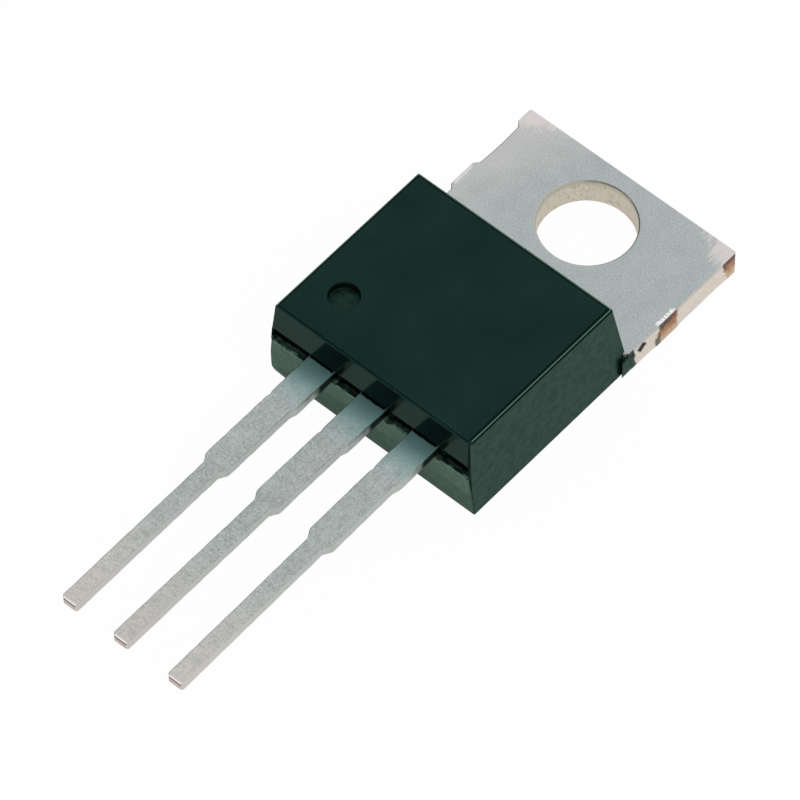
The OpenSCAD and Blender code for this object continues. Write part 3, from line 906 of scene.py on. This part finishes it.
def torn_front(case, leads, x, y, z, on_front):
    """The y and z of the flash strip between the leads, torn by noise.

    It has a gap beside each lead, a lip over it, a ragged edge above and below, and a thin web that
    closes the sunk line at both side faces.
    """
    line_top, ledge = line_heights(case)
    gap, over_lead = np.zeros_like(x), np.zeros_like(x)
    deep = smooth_step(LEAD_BASE - 0.15, ledge, z)
    for number, place in enumerate((-leads.pitch, 0.0, leads.pitch)):
        right, left = place + leads.width / 2 + leads.dam_step, place - leads.width / 2
        reach = case.gap_w * (0.3 + 1.1 * deep) + 0.06 * lattice_noise(z * 6.0, z * 0.0 + 3 * number, 31)
        gap += smooth_step(right - 0.06, right - 0.02, x) * smooth_fall(0.0, 0.06, x - right - reach)
        gap += 0.8 * smooth_hill(left - 0.1, left - 0.06, left + 0.02, left + 0.06, x)
        over_lead += smooth_hill(left - 0.03, left, right, right + 0.03, x)
    torn = 0.5 * lattice_noise(x * 7.0, z * 7.0, 5) + 0.5 * lattice_noise(x * 15.0, z * 15.0, 6)
    ragged = 0.55 * line_noise(x * 2.3, 8) + 0.45 * line_noise(x * 8.0, 9)
    in_strip = smooth_hill(LEAD_BASE - 0.02, LEAD_BASE + 0.05, ledge, ledge + 0.02, z)
    in_pocket = smooth_hill(ledge - 0.03, ledge - 0.01, line_top - 0.01, line_top, z)
    y = y + on_front * in_strip * (case.gap_depth * 0.9 * gap + 0.05 * torn + 0.02)
    at_lip = smooth_hill(LEAD_BASE - 0.45, LEAD_BASE - 0.02, LEAD_BASE + 0.05, LEAD_BASE + 0.25, z)
    z = z + on_front * at_lip * case.ragged * (ragged - 0.25 - 1.2 * gap)

    # Over a lead the pocket ends on the lip, which stands a little out; at the sides a thin web closes it
    squeeze = (line_top - LEAD_TOP - 0.8 * case.lip) / (line_top - ledge)
    raised = line_top - (line_top - z) * squeeze
    lip = on_front * over_lead * in_pocket
    z = z + lip * (raised - z)
    lip_y = CASE_FRONT + 0.03 + 0.015 * line_noise(x * 11.0, 14)
    y = y - lip * (y < CASE_FRONT + 0.7 * case.line_depth) * (y - lip_y)
    outer = y < CASE_FRONT + 0.9 * case.line_depth
    z = z + on_front * (1 - over_lead) * in_pocket * outer * 0.05 * ragged
    from_middle = np.abs(x) + z * math.tan(case.side_draft)
    at_side = smooth_step(CASE_HALF - 0.16, CASE_HALF - 0.1, from_middle)
    web = on_front * at_side * np.maximum(in_pocket, in_strip)
    return y - web * np.maximum(y - CASE_FRONT - 0.03, 0.0), z


def swollen_corner(case, x, y, z):
    """The points moved out round the left front corner, which is rounded off at its foot."""
    off_corner = np.hypot(x + CASE_HALF, y - CASE_FRONT)
    bulge = case.swell * swelling(z, smooth_step) * smooth_fall(0.1, 1.6, off_corner)
    lift = case.lift * smooth_fall(0.1, 1.0, off_corner) * smooth_fall(0.0, 0.6, z)
    return x - SWELL_SIDE * bulge, y - SWELL_FRONT * bulge, z + lift


def mark_rows(case, x, y):
    """Rows from the ejector mark's floor up its wall to a ring on the top face, and the floor's middle."""
    middle_x, middle_y = case.mark_side - CASE_HALF, CASE_FRONT + case.mark_front
    radius, floor = case.mark_d / 2, CASE_TOP - case.mark_depth
    mark = rounded(
        [[0.2, floor], [radius - 0.03, floor], [radius, CASE_TOP], [radius + 0.25, CASE_TOP]],
        [0.05, 0.03], guard=0.01,
    )
    turn = np.arctan2(y - middle_y, x - middle_x)
    mark_x = middle_x + mark[:, 0:1] * np.cos(turn)
    mark_y = middle_y + mark[:, 0:1] * np.sin(turn)
    share = np.array([0.3, 0.65])[:, None]
    onwards_x = mark_x[-1] + (x - mark_x[-1]) * share
    onwards_y = mark_y[-1] + (y - mark_y[-1]) * share
    heights = [mark[:, 1:2] + 0 * turn, CASE_TOP + 0 * onwards_x]
    rows = np.vstack([mark_x, onwards_x]), np.vstack([mark_y, onwards_y]), np.vstack(heights)
    return rows, [middle_x, middle_y, floor]


def case_skins(case, tab, leads):
    """The moulding: rows of one profile carried round a rounded rectangle, and the filled notches."""
    foot = -tab.foot
    rows = case_rows(case, tab)
    ring = Round(front=260, side=90, back=60)
    x, y = ring.sides(rows[:, 3:4], rows[:, 1:2], rows[:, 4:5], case.corner)

    # Heights go over from the front's to the sides' and the back's in the corners between them
    z_front, z_side, z_back = rows[:, 0:1], rows[:, 2:3], rows[:, 5:6]
    start = np.select([ring.of(0, 4), ring.of(2, 6)], [z_front, z_back], z_side)
    stop = np.select([ring.of(0, 7), ring.of(2, 5)], [z_front, z_back], z_side)
    z = start + (stop - start) * ring.share

    # Under the moulding the header widens to the tab just before the foot
    slope = (tab.width - tab.header_w) / 2 / tab.neck
    widened = tab.header_w / 2 + (y - foot + tab.neck) * slope
    near_foot = (np.arange(len(rows)) >= len(rows) - 8)[:, None] & (np.abs(x) < CASE_HALF - 0.3)
    near_foot &= ring.of(1, 3) & (y > foot - tab.neck)
    x = np.where(near_foot, np.sign(x) * np.clip(widened, 0.0, CASE_HALF - 0.02), x)

    y, z = torn_front(case, leads, x, y, z, ring.of(0, 4, 7) * 1.0)
    x, y, z = swollen_corner(case, x, y, z)
    mark, floor = mark_rows(case, x[0], y[0])
    grid = np.stack([np.vstack(parts) for parts in zip(mark, (x, y, z))], axis=-1)
    pocket = [0.0, (CASE_FRONT + tab.cover + foot) / 2, tab.step_h]
    return [Skin(grid, floor, pocket)] + [notch_fill(tab, turned) for turned in (1, -1)]


def wall_of(tab, turned):
    """Distance from the hole axis to the tab's right side (1) or left side (-1)."""
    return tab.width / 2 + turned * tab.set_over


def notch_fill(tab, turned):
    """Moulding in a lock notch: an arc of the notch's circle closed by a ragged flat, between two heights."""
    foot, wall = -tab.foot, wall_of(tab, turned)
    centre_x = wall + tab.notch_r - tab.notch_bite
    reach = tab.notch_r + 0.015
    open_half = math.acos((tab.notch_r - tab.notch_bite) / reach)
    turn = math.pi + open_half * np.linspace(-1.0, 1.0, 25)
    arc = np.stack([centre_x + reach * np.cos(turn), foot + reach * np.sin(turn)], axis=-1)
    flat_y = np.linspace(arc[-1, 1], arc[0, 1], 25)[1:-1]
    heights = np.array([0.01, 0.018, 0.04, 0.2, 0.4, 0.6, 0.8, 0.93, 0.98, 1.0])[:, None] * tab.notch_h
    inset = np.array([0.03, 0.008, 0, 0, 0, 0, 0, 0, 0.015, 0.04])[:, None]
    wave = 0.6 * lattice_noise(flat_y * 4.0, heights * 4.0, 12 + turned)
    wave = wave + 0.4 * lattice_noise(flat_y * 13.0, heights * 13.0, 13)
    flat_x = wall + 0.002 + 0.022 * wave - inset
    x = np.hstack([arc[:, 0] + 0 * heights, flat_x])
    y = np.hstack([arc[:, 1] + 0 * heights, flat_y + 0 * heights])
    z = heights + 0 * x
    grid = np.stack([turned * x, y, z], axis=-1)
    middle = turned * (wall - tab.notch_bite / 2)
    return Skin(grid, [middle, foot, heights[0, 0]], [middle, foot, heights[-1, 0]])


def tab_side(tab, turned, slant, step, bite):
    """One side of the tab and header from the header's front to the free end, as corner points.

    slant moves the start of the stubs along Y, step brings in the header, and bite opens the lock notch.
    """
    foot, end = -tab.foot, TAB_END
    wall, ear = wall_of(tab, turned), STUB_SIDE
    header = tab.header_w / 2 - step
    half_open = math.sqrt(tab.notch_r ** 2 - (tab.notch_r - tab.notch_bite) ** 2)
    notch_y = foot + half_open * np.linspace(-0.5, 1.0, 13)
    notch_x = wall + tab.notch_r - tab.notch_bite - np.sqrt(tab.notch_r ** 2 - (notch_y - foot) ** 2)
    neck = wall + np.minimum(notch_y - foot, 0.0) * (wall - tab.header_w / 2) / tab.neck
    notch = np.stack([np.minimum(neck, notch_x + (1.0 - bite)), notch_y], axis=-1)
    near, start = foot + tab.near_gap, end - tab.end_len
    near_end = near + tab.near_len
    share = np.linspace(0.0, 1.0, 9)
    recess_y = near_end + tab.slant + (start - near_end - 2 * tab.slant) * share
    bow = tab.scoop * np.sin(np.pi * share) * (turned < 0)
    recess = np.stack([wall - bow, recess_y], axis=-1)
    cut = tab.corner
    return np.concatenate([
        [[header, CASE_FRONT + tab.cover], [header, foot - tab.neck]],
        notch,
        [[wall, near - tab.slant], [ear, near + slant * 0.3], [ear, near_end - slant * 0.2]],
        recess,
        [[ear, start + slant], [ear, end - cut], [ear - cut, end]],
    ])


def whole_outline(tab, slant, step, bite):
    """Both sides of the outline, anticlockwise from the header's right front corner."""
    right = tab_side(tab, 1, slant, step, bite)
    left = tab_side(tab, -1, slant, step, bite)[::-1] * [-1.0, 1.0]
    return np.concatenate([right, left])


def brought_in(outline, reach):
    """The outline moved inwards along its mitres: p - reach * (n1 + n2) / (1 + n1 . n2)."""
    edge = np.roll(outline, -1, axis=0) - outline
    edge /= np.linalg.norm(edge, axis=1, keepdims=True)
    after = np.stack([edge[:, 1], -edge[:, 0]], axis=-1)
    before = np.roll(after, 1, axis=0)
    mitre = (before + after) / (1.0 + (before * after).sum(axis=1, keepdims=True))
    return outline - mitre * np.reshape(reach, (-1, 1))


def spread(outline, counts):
    """Points along every edge of the outline, a fixed count to each edge."""
    after = np.roll(outline, -1, axis=0)
    edge = np.repeat(np.arange(len(outline)), counts)
    place = np.concatenate([np.arange(count) / count for count in counts])[:, None]
    return outline[edge] * (1.0 - place) + after[edge] * place


def tab_skin(tab):
    """Tab and header: rings from the screw hole to the outline, over the top, wall and underside."""
    plain = whole_outline(tab, 0.0, 0.0, 0.0)
    length_of = np.linalg.norm(np.roll(plain, -1, axis=0) - plain, axis=1)

    # Points stand closest on the right side by the foot, where the scar is, and widest on long edges
    by_scar = (plain[:, 0] > tab.width / 2) & (plain[:, 1] < tab.near_gap - tab.foot)
    spacing = np.where(by_scar, 0.03, np.where(length_of > 2.5, 0.12, 0.07))
    counts = np.maximum(2, np.ceil(length_of / spacing)).astype(int)
    at_stub = np.abs(plain[:, 0]) > STUB_SIDE - 1.5 * tab.corner
    off_foot = np.abs(plain[:, 1] + tab.foot)
    roll = np.where(at_stub, 0.5, 0.3 + 0.7 * smooth_step(0.5 * tab.notch_r, 1.5 * tab.notch_r, off_foot))
    step = (tab.header_w - tab.bare_w) / 2
    thick = tab.thick

    # Wall rows as [inset, height, stub slant, header step, notch bite]
    slant = 0.25
    wall = rounded([
        [0.11, thick, 0.0, 0.0, 0.0],
        [0.0, thick, 0.0, 0.0, 0.0],
        [0.0, tab.notch_h, 0.1, 0.0, 0.0],
        [0.0, tab.notch_h - 0.01, 0.1, 0.0, 1.0],
        [0.0, tab.step_h + 0.01, slant * 0.7, 0.0, 1.0],
        [0.0, tab.step_h - 0.01, slant * 0.7, step, 1.0],
        [0.0, 0.0, slant, step, 1.0],
        [0.1, 0.0, slant, step, 1.0],
    ], [tab.roll, 0.002, 0.002, 0.003, 0.003, 0.5 * tab.roll], steps=6, guard=0.006)
    wall = split_steps(wall, wall[:, 1], 0.05)
    rings = [spread(brought_in(whole_outline(tab, s, h, b), d * roll), counts) for d, z, s, h, b in wall]
    heights = wall[:, 1]

    turn = np.arctan2(rings[0][:, 1], rings[0][:, 0])
    around = np.stack([np.cos(turn), np.sin(turn)], axis=-1)
    radius = tab.hole_d / 2
    hole = rounded(
        [[radius + 0.3, 0.0], [radius, 0.0], [radius, thick], [radius + 0.3, thick]],
        [0.05, 0.08], steps=5, guard=0.01,
    )
    hole = split_steps(hole, hole[:, 1], 0.2)

    def flat(inner, outer, height, shares):
        """Rings between two rings at one height."""
        level = np.full(len(turn), height)
        return [np.column_stack([inner * (1 - share) + outer * share, level]) for share in shares]

    inward = np.array([0.2, 0.4, 0.6, 0.8])
    rows = [np.column_stack([around * r, np.full(len(turn), z)]) for r, z in hole]
    rows += flat(around * hole[-1, 0], rings[0], thick, inward)
    rows += [np.column_stack([ring, np.full(len(turn), z)]) for ring, z in zip(rings, heights)]
    rows += flat(rings[-1], around * hole[0, 0], 0.0, inward)
    grid = np.stack(rows)

    # The tool scar presses the right side in
    along, across = scar_axes(tab, grid[..., 1], grid[..., 2])
    pressed = smooth_fall(tab.scar_len / 2 - 0.03, tab.scar_len / 2 + 0.02, np.abs(along))
    pressed = pressed * smooth_fall(tab.scar_h / 2 - 0.03, tab.scar_h / 2 + 0.02, np.abs(across))
    grid[..., 0] -= tab.scar_depth * pressed * (grid[..., 0] > tab.width / 2 - 0.02)
    return Skin(grid)


def section(left, right, low, high, edge, steps=5):
    """A rounded rectangle for each row: straight sides between quarter circles of the edge radius."""
    turn = np.linspace(0.0, 1.0, steps)
    angles = np.concatenate([np.pi / 2 * (corner - 1 + turn) for corner in range(4)])
    on_right = np.repeat([True, True, False, False], steps)
    on_top = np.repeat([False, True, True, False], steps)
    left, right, low, high, edge = (np.reshape(v, (-1, 1)) for v in (left, right, low, high, edge))
    x = np.where(on_right, right - edge, left + edge) + edge * np.cos(angles)
    z = np.where(on_top, high - edge, low + edge) + edge * np.sin(angles)
    return x, z


def bar_skin(path, left, right, leads, thick):
    """A flat bar: rounded sections square to a path in the YZ plane, with a bevelled tip, a blunt root.

    Each point is path + z * normal, with x taken from the two side lines at the path's y.
    """
    along = np.gradient(path, axis=0)
    along /= np.linalg.norm(along, axis=1, keepdims=True)
    normal = np.stack([along[:, 1], -along[:, 0]], axis=-1)
    y = path[:, 0]
    side_left = np.interp(y, left[:, 0], left[:, 1])
    side_right = np.interp(y, right[:, 0], right[:, 1])
    tip = 1.0 - np.clip((y - y.min()) / leads.tip, 0.0, 1.0)
    edge = np.full(len(y), leads.edge)
    low = np.full(len(y), -thick / 2) + 0.03 * tip
    high = np.full(len(y), thick / 2) - leads.tip * tip
    x, z = section(side_left, side_right, low, high, edge)
    grid = np.stack([x, y[:, None] + z * normal[:, :1], path[:, 1:] + z * normal[:, 1:]], axis=-1)
    first, last = (grid[k].mean(axis=0) for k in (0, -1))
    return Skin(grid, first, last)


def lead_sides(leads, place, root, posted):
    """Left and right side lines of a lead as rounded [y, x] points, from the tip to the root."""
    front, tip = CASE_FRONT, LEAD_TIP
    shoulder, dam = front - leads.shoulder_out, front - leads.dam_out
    wide, pin = leads.width / 2, leads.pin_w / 2
    post = leads.post_w / 2 if posted else wide
    post_y = front + leads.post_in
    sets = (leads.left_set, leads.middle_set, leads.right_set)
    tip_set = np.interp(place, [-leads.pitch, 0.0, leads.pitch], sets)
    sides = []
    for turned, step, nick, seed in ((-1, 0.0, leads.nick, 40), (1, leads.dam_step, 0.0, 50)):
        line = [
            [tip, pin - leads.tip], [tip + leads.tip, pin],
            [shoulder - leads.shoulder_len, pin], [shoulder, wide],
            [dam - leads.dam_slant, wide], [dam - leads.dam_slant / 2, wide + step / 2 - nick],
            [dam, wide + step + 0.0001],
            [post_y - 0.01, wide + step], [post_y, post], [root, post],
        ]
        line = rounded(line, [0.03, 0.07, 0.07, 0.04, 0.02, 0.04, 0.004, 0.004], steps=4, guard=0.01)
        y = np.unique(np.concatenate([line[:, 0], [tip + leads.tip], np.arange(tip + 0.2, front, 0.09)]))
        x = np.interp(y, line[:, 0], line[:, 1])
        x = x + leads.waver * line_noise(y * 3.0, seed + int(place)) * smooth_step(tip, tip + 0.5, y)
        drift = tip_set * np.maximum(front - y, 0.0) / (front - tip)
        sides.append(np.stack([y, place + drift + turned * x], axis=-1))
    return sides


def lead_skin(leads, place, path, posted):
    """One lead from its tip to its root along a path of [y, z] points."""
    left, right = lead_sides(leads, place, path[-1, 0], posted)
    stations = np.unique(np.concatenate([left[:, 0], right[:, 0], path[:, 0]]))
    slack = 1e-9
    stations = stations[(stations >= path[0, 0] - slack) & (stations <= path[-1, 0] + slack)]
    line = np.stack([stations, np.interp(stations, path[:, 0], path[:, 1])], axis=-1)
    return bar_skin(line, left, right, leads, LEAD_TOP - LEAD_BASE)


# ---------------------------------------------------------------- operators


def settings():
    """The package's settings in the open scene."""
    return bpy.context.scene.power_package


class MakeCase(bpy.types.Operator):
    """Build the moulding with its sunk line, flash strip, mark and filled notches"""

    bl_idname = "power_package.make_case"
    bl_label = "Moulded case"

    def execute(self, context):
        package = settings()
        skins = case_skins(in_mm(package.case), in_mm(package.tab), in_mm(package.leads))
        make_piece("case", skins, "moulded_body", moulding_finish(package.paint))
        return {"FINISHED"}


class MakeTab(bpy.types.Operator):
    """Build the plated tab and header with the centre lead joggled up from it"""

    bl_idname = "power_package.make_tab"
    bl_label = "Tab and centre lead"

    def execute(self, context):
        package = settings()
        tab, leads = in_mm(package.tab), in_mm(package.leads)
        thick = LEAD_TOP - LEAD_BASE
        low, high = tab.thick - thick / 2, LEAD_TOP - thick / 2
        header_front = CASE_FRONT + tab.cover
        bends = [header_front - leads.joggle_out, header_front + leads.joggle_in]
        path = [[LEAD_TIP, high], [bends[0], high], [bends[1], low], [header_front + leads.lap, low]]
        path = rounded(path, [0.25, 0.2], steps=8)
        centre = lead_skin(leads, 0.0, path, False)
        make_piece("tab_and_centre_lead", [tab_skin(tab), centre], "collector_header",
                   tab_finish(package.paint))
        return {"FINISHED"}


class MakeLeads(bpy.types.Operator):
    """Build the two outer leads with their bonding posts"""

    bl_idname = "power_package.make_leads"
    bl_label = "Outer leads"

    def execute(self, context):
        package = settings()
        leads = in_mm(package.leads)
        middle = (LEAD_BASE + LEAD_TOP) / 2
        finish = lead_finish(package.paint)
        for node, place in (("base_lead", -leads.pitch), ("emitter_lead", leads.pitch)):
            path = np.array([[LEAD_TIP, middle], [LEAD_ROOT, middle]])
            make_piece(f"{node}_formed", [lead_skin(leads, place, path, True)], node, finish)
        return {"FINISHED"}


class FinishInside(bpy.types.Operator):
    """Give the die, its solder and the bond wires their finishes"""

    bl_idname = "power_package.finish_inside"
    bl_label = "Die and bond wires"

    def execute(self, context):
        silicon = inner_finish("silicon", (0.06, 0.065, 0.09), (0.1, 0.1, 0.14), 0.6, 0.25)
        solder = inner_finish("solder", (0.36, 0.36, 0.38), (0.46, 0.46, 0.48), 1.0, 0.4)
        wire = inner_finish("bond_aluminium", (0.7, 0.7, 0.72), (0.8, 0.8, 0.82), 1.0, 0.3)
        finishes = {"transistor_die": silicon, "die_solder": solder, "base_wire": wire,
                    "emitter_wire_1": wire, "emitter_wire_2": wire}
        for node, finish in finishes.items():
            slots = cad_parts[node].material_slots
            for slot in slots:
                slot.material = finish
            if not slots:
                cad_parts[node].data.materials.append(finish)
        return {"FINISHED"}


class MakeStage(bpy.types.Operator):
    """Lay the floor and set up the lights and the camera"""

    bl_idname = "power_package.make_stage"
    bl_label = "Studio stage"

    def execute(self, context):
        stage = settings().stage
        scene = context.scene
        self.floor(stage)
        self.world(stage)
        self.lamp(stage)
        self.camera(stage)
        scene.view_settings.view_transform = "Standard"
        return {"FINISHED"}

    @staticmethod
    def seen(shader, mirrored=1.0):
        """1 for a ray from the eye or through glass, a set share for one from a gloss, 0 for the others."""
        path = shader.add("ShaderNodeLightPath", output="Is Camera Ray")
        outputs = path.socket.node.outputs
        gloss = Value(shader, outputs["Is Glossy Ray"]) * mirrored
        return path.most(gloss).most(Value(shader, outputs["Is Transmission Ray"]))

    def floor(self, stage):
        """A plain square floor just under the part."""
        shader = Shader("pale_floor")
        lit = shader.add("ShaderNodeBsdfDiffuse", inputs={"Color": (0.95, 0.95, 0.95, 1.0)})
        white = shader.add("ShaderNodeEmission", inputs={"Color": WHITE, "Strength": 1.0})
        to_eye = self.seen(shader, stage.floor_gloss) * stage.floor_glow
        mixed = shader.add("ShaderNodeMixShader", inputs={0: to_eye, 1: lit, 2: white})
        shader.add("ShaderNodeOutputMaterial", inputs={"Surface": mixed})
        half = stage.floor / 2
        below = -0.02 * MM
        mesh = bpy.data.meshes.new("floor")
        outline = [(-half, -half, below), (half, -half, below), (half, half, below), (-half, half, below)]
        mesh.from_pydata(outline, [], [(0, 1, 2, 3)])
        mesh.materials.append(shader.material)
        floor = bpy.data.objects.new("floor", mesh)
        bpy.context.scene.collection.objects.link(floor)

    def world(self, stage):
        """White to the eye and to gloss but for one dark flag overhead, and a softer light for the rest."""
        world = bpy.data.worlds.new("white_room")
        bpy.context.scene.world = world
        shader = Shader("white_room", world)
        path = shader.add("ShaderNodeLightPath", output="Is Glossy Ray")
        direction = shader.add("ShaderNodeTexCoord", output="Generated")
        flag = Vector((-0.2, -0.4, 0.894)).normalized()
        facing = shader.add(
            "ShaderNodeVectorMath", {"operation": "DOT_PRODUCT"}, {0: direction, 1: flag}, output=1,
        )
        dark = facing.rise(math.cos(math.radians(32.0)), math.cos(math.radians(24.0))) * path
        strength = self.seen(shader) * (1.0 - stage.fill) + stage.fill - dark * stage.flag
        back = shader.add("ShaderNodeBackground", inputs={"Color": WHITE, "Strength": strength})
        shader.add("ShaderNodeOutputWorld", inputs={"Surface": back})

    @staticmethod
    def lamp(stage):
        """A large soft lamp, high to the front."""
        light = bpy.data.lights.new("key", "AREA")
        light.shape = "DISK"
        light.size = stage.lamp_size
        light.energy = stage.key
        lamp = bpy.data.objects.new("key", light)
        spot = Vector((0.28, -0.12, 0.5))
        lamp.location = spot
        lamp.rotation_euler = spot.to_track_quat("Z", "Y").to_euler()
        lamp.visible_glossy = False
        bpy.context.scene.collection.objects.link(lamp)

    @staticmethod
    def camera(stage):
        """A long lens at the stage's azimuth and elevation, looking past the middle of the part."""
        turn, lift = stage.azimuth, stage.elevation
        right = Vector((math.cos(turn), math.sin(turn), 0.0))
        back = Vector((math.sin(turn) * math.cos(lift), -math.cos(turn) * math.cos(lift), math.sin(lift)))
        up = back.cross(right)
        aim = Vector((0.0, -8.0, 2.0)) * MM - stage.aim_left * right - stage.aim_down * up
        data = bpy.data.cameras.new("camera")
        data.lens = stage.focal
        data.sensor_width = 36.0
        data.clip_start, data.clip_end = 0.01, 10.0
        camera = bpy.data.objects.new("camera", data)
        camera.location = aim + back * stage.distance
        camera.rotation_euler = back.to_track_quat("Z", "Y").to_euler()
        bpy.context.scene.collection.objects.link(camera)
        bpy.context.scene.camera = camera


# ---------------------------------------------------------------- panel and registration


class PackageSettings(bpy.types.PropertyGroup):
    """All settings of the package."""

    case: PointerProperty(type=CaseSizes, name="Case", description="Sizes of the moulded case")
    tab: PointerProperty(type=TabSizes, name="Tab", description="Sizes of the tab and header")
    leads: PointerProperty(type=LeadSizes, name="Leads", description="Sizes of the leads")
    paint: PointerProperty(type=Finishes, name="Finishes", description="Colours of the finishes")
    stage: PointerProperty(type=StageSizes, name="Stage", description="Camera and lamps")


OPERATORS = (MakeCase, MakeTab, MakeLeads, FinishInside, MakeStage)


class PackagePanel(bpy.types.Panel):
    """The package's operators and settings in the 3D view's sidebar."""

    bl_idname = "VIEW3D_PT_power_package"
    bl_label = "Power package"
    bl_space_type = "VIEW_3D"
    bl_region_type = "UI"
    bl_category = "Power package"

    def draw(self, context):
        package = context.scene.power_package
        for operator in OPERATORS:
            self.layout.operator(operator.bl_idname)
        for name in PackageSettings.__annotations__:
            group = getattr(package, name)
            box = self.layout.box()
            box.label(text=name.capitalize())
            for setting in type(group).__annotations__:
                box.prop(group, setting)


CLASSES = (CaseSizes, TabSizes, LeadSizes, Finishes, StageSizes, PackageSettings, *OPERATORS, PackagePanel)


def register():
    for kind in CLASSES:
        bpy.utils.register_class(kind)
    bpy.types.Scene.power_package = PointerProperty(type=PackageSettings)


def unregister():
    del bpy.types.Scene.power_package
    for kind in reversed(CLASSES):
        bpy.utils.unregister_class(kind)


def main():
    """Registers the package's classes and runs its operators in order, which build it."""
    register()
    for operator in OPERATORS:
        group, name = operator.bl_idname.split(".")
        getattr(getattr(bpy.ops, group), name)()


if __name__ == "__main__":
    main()
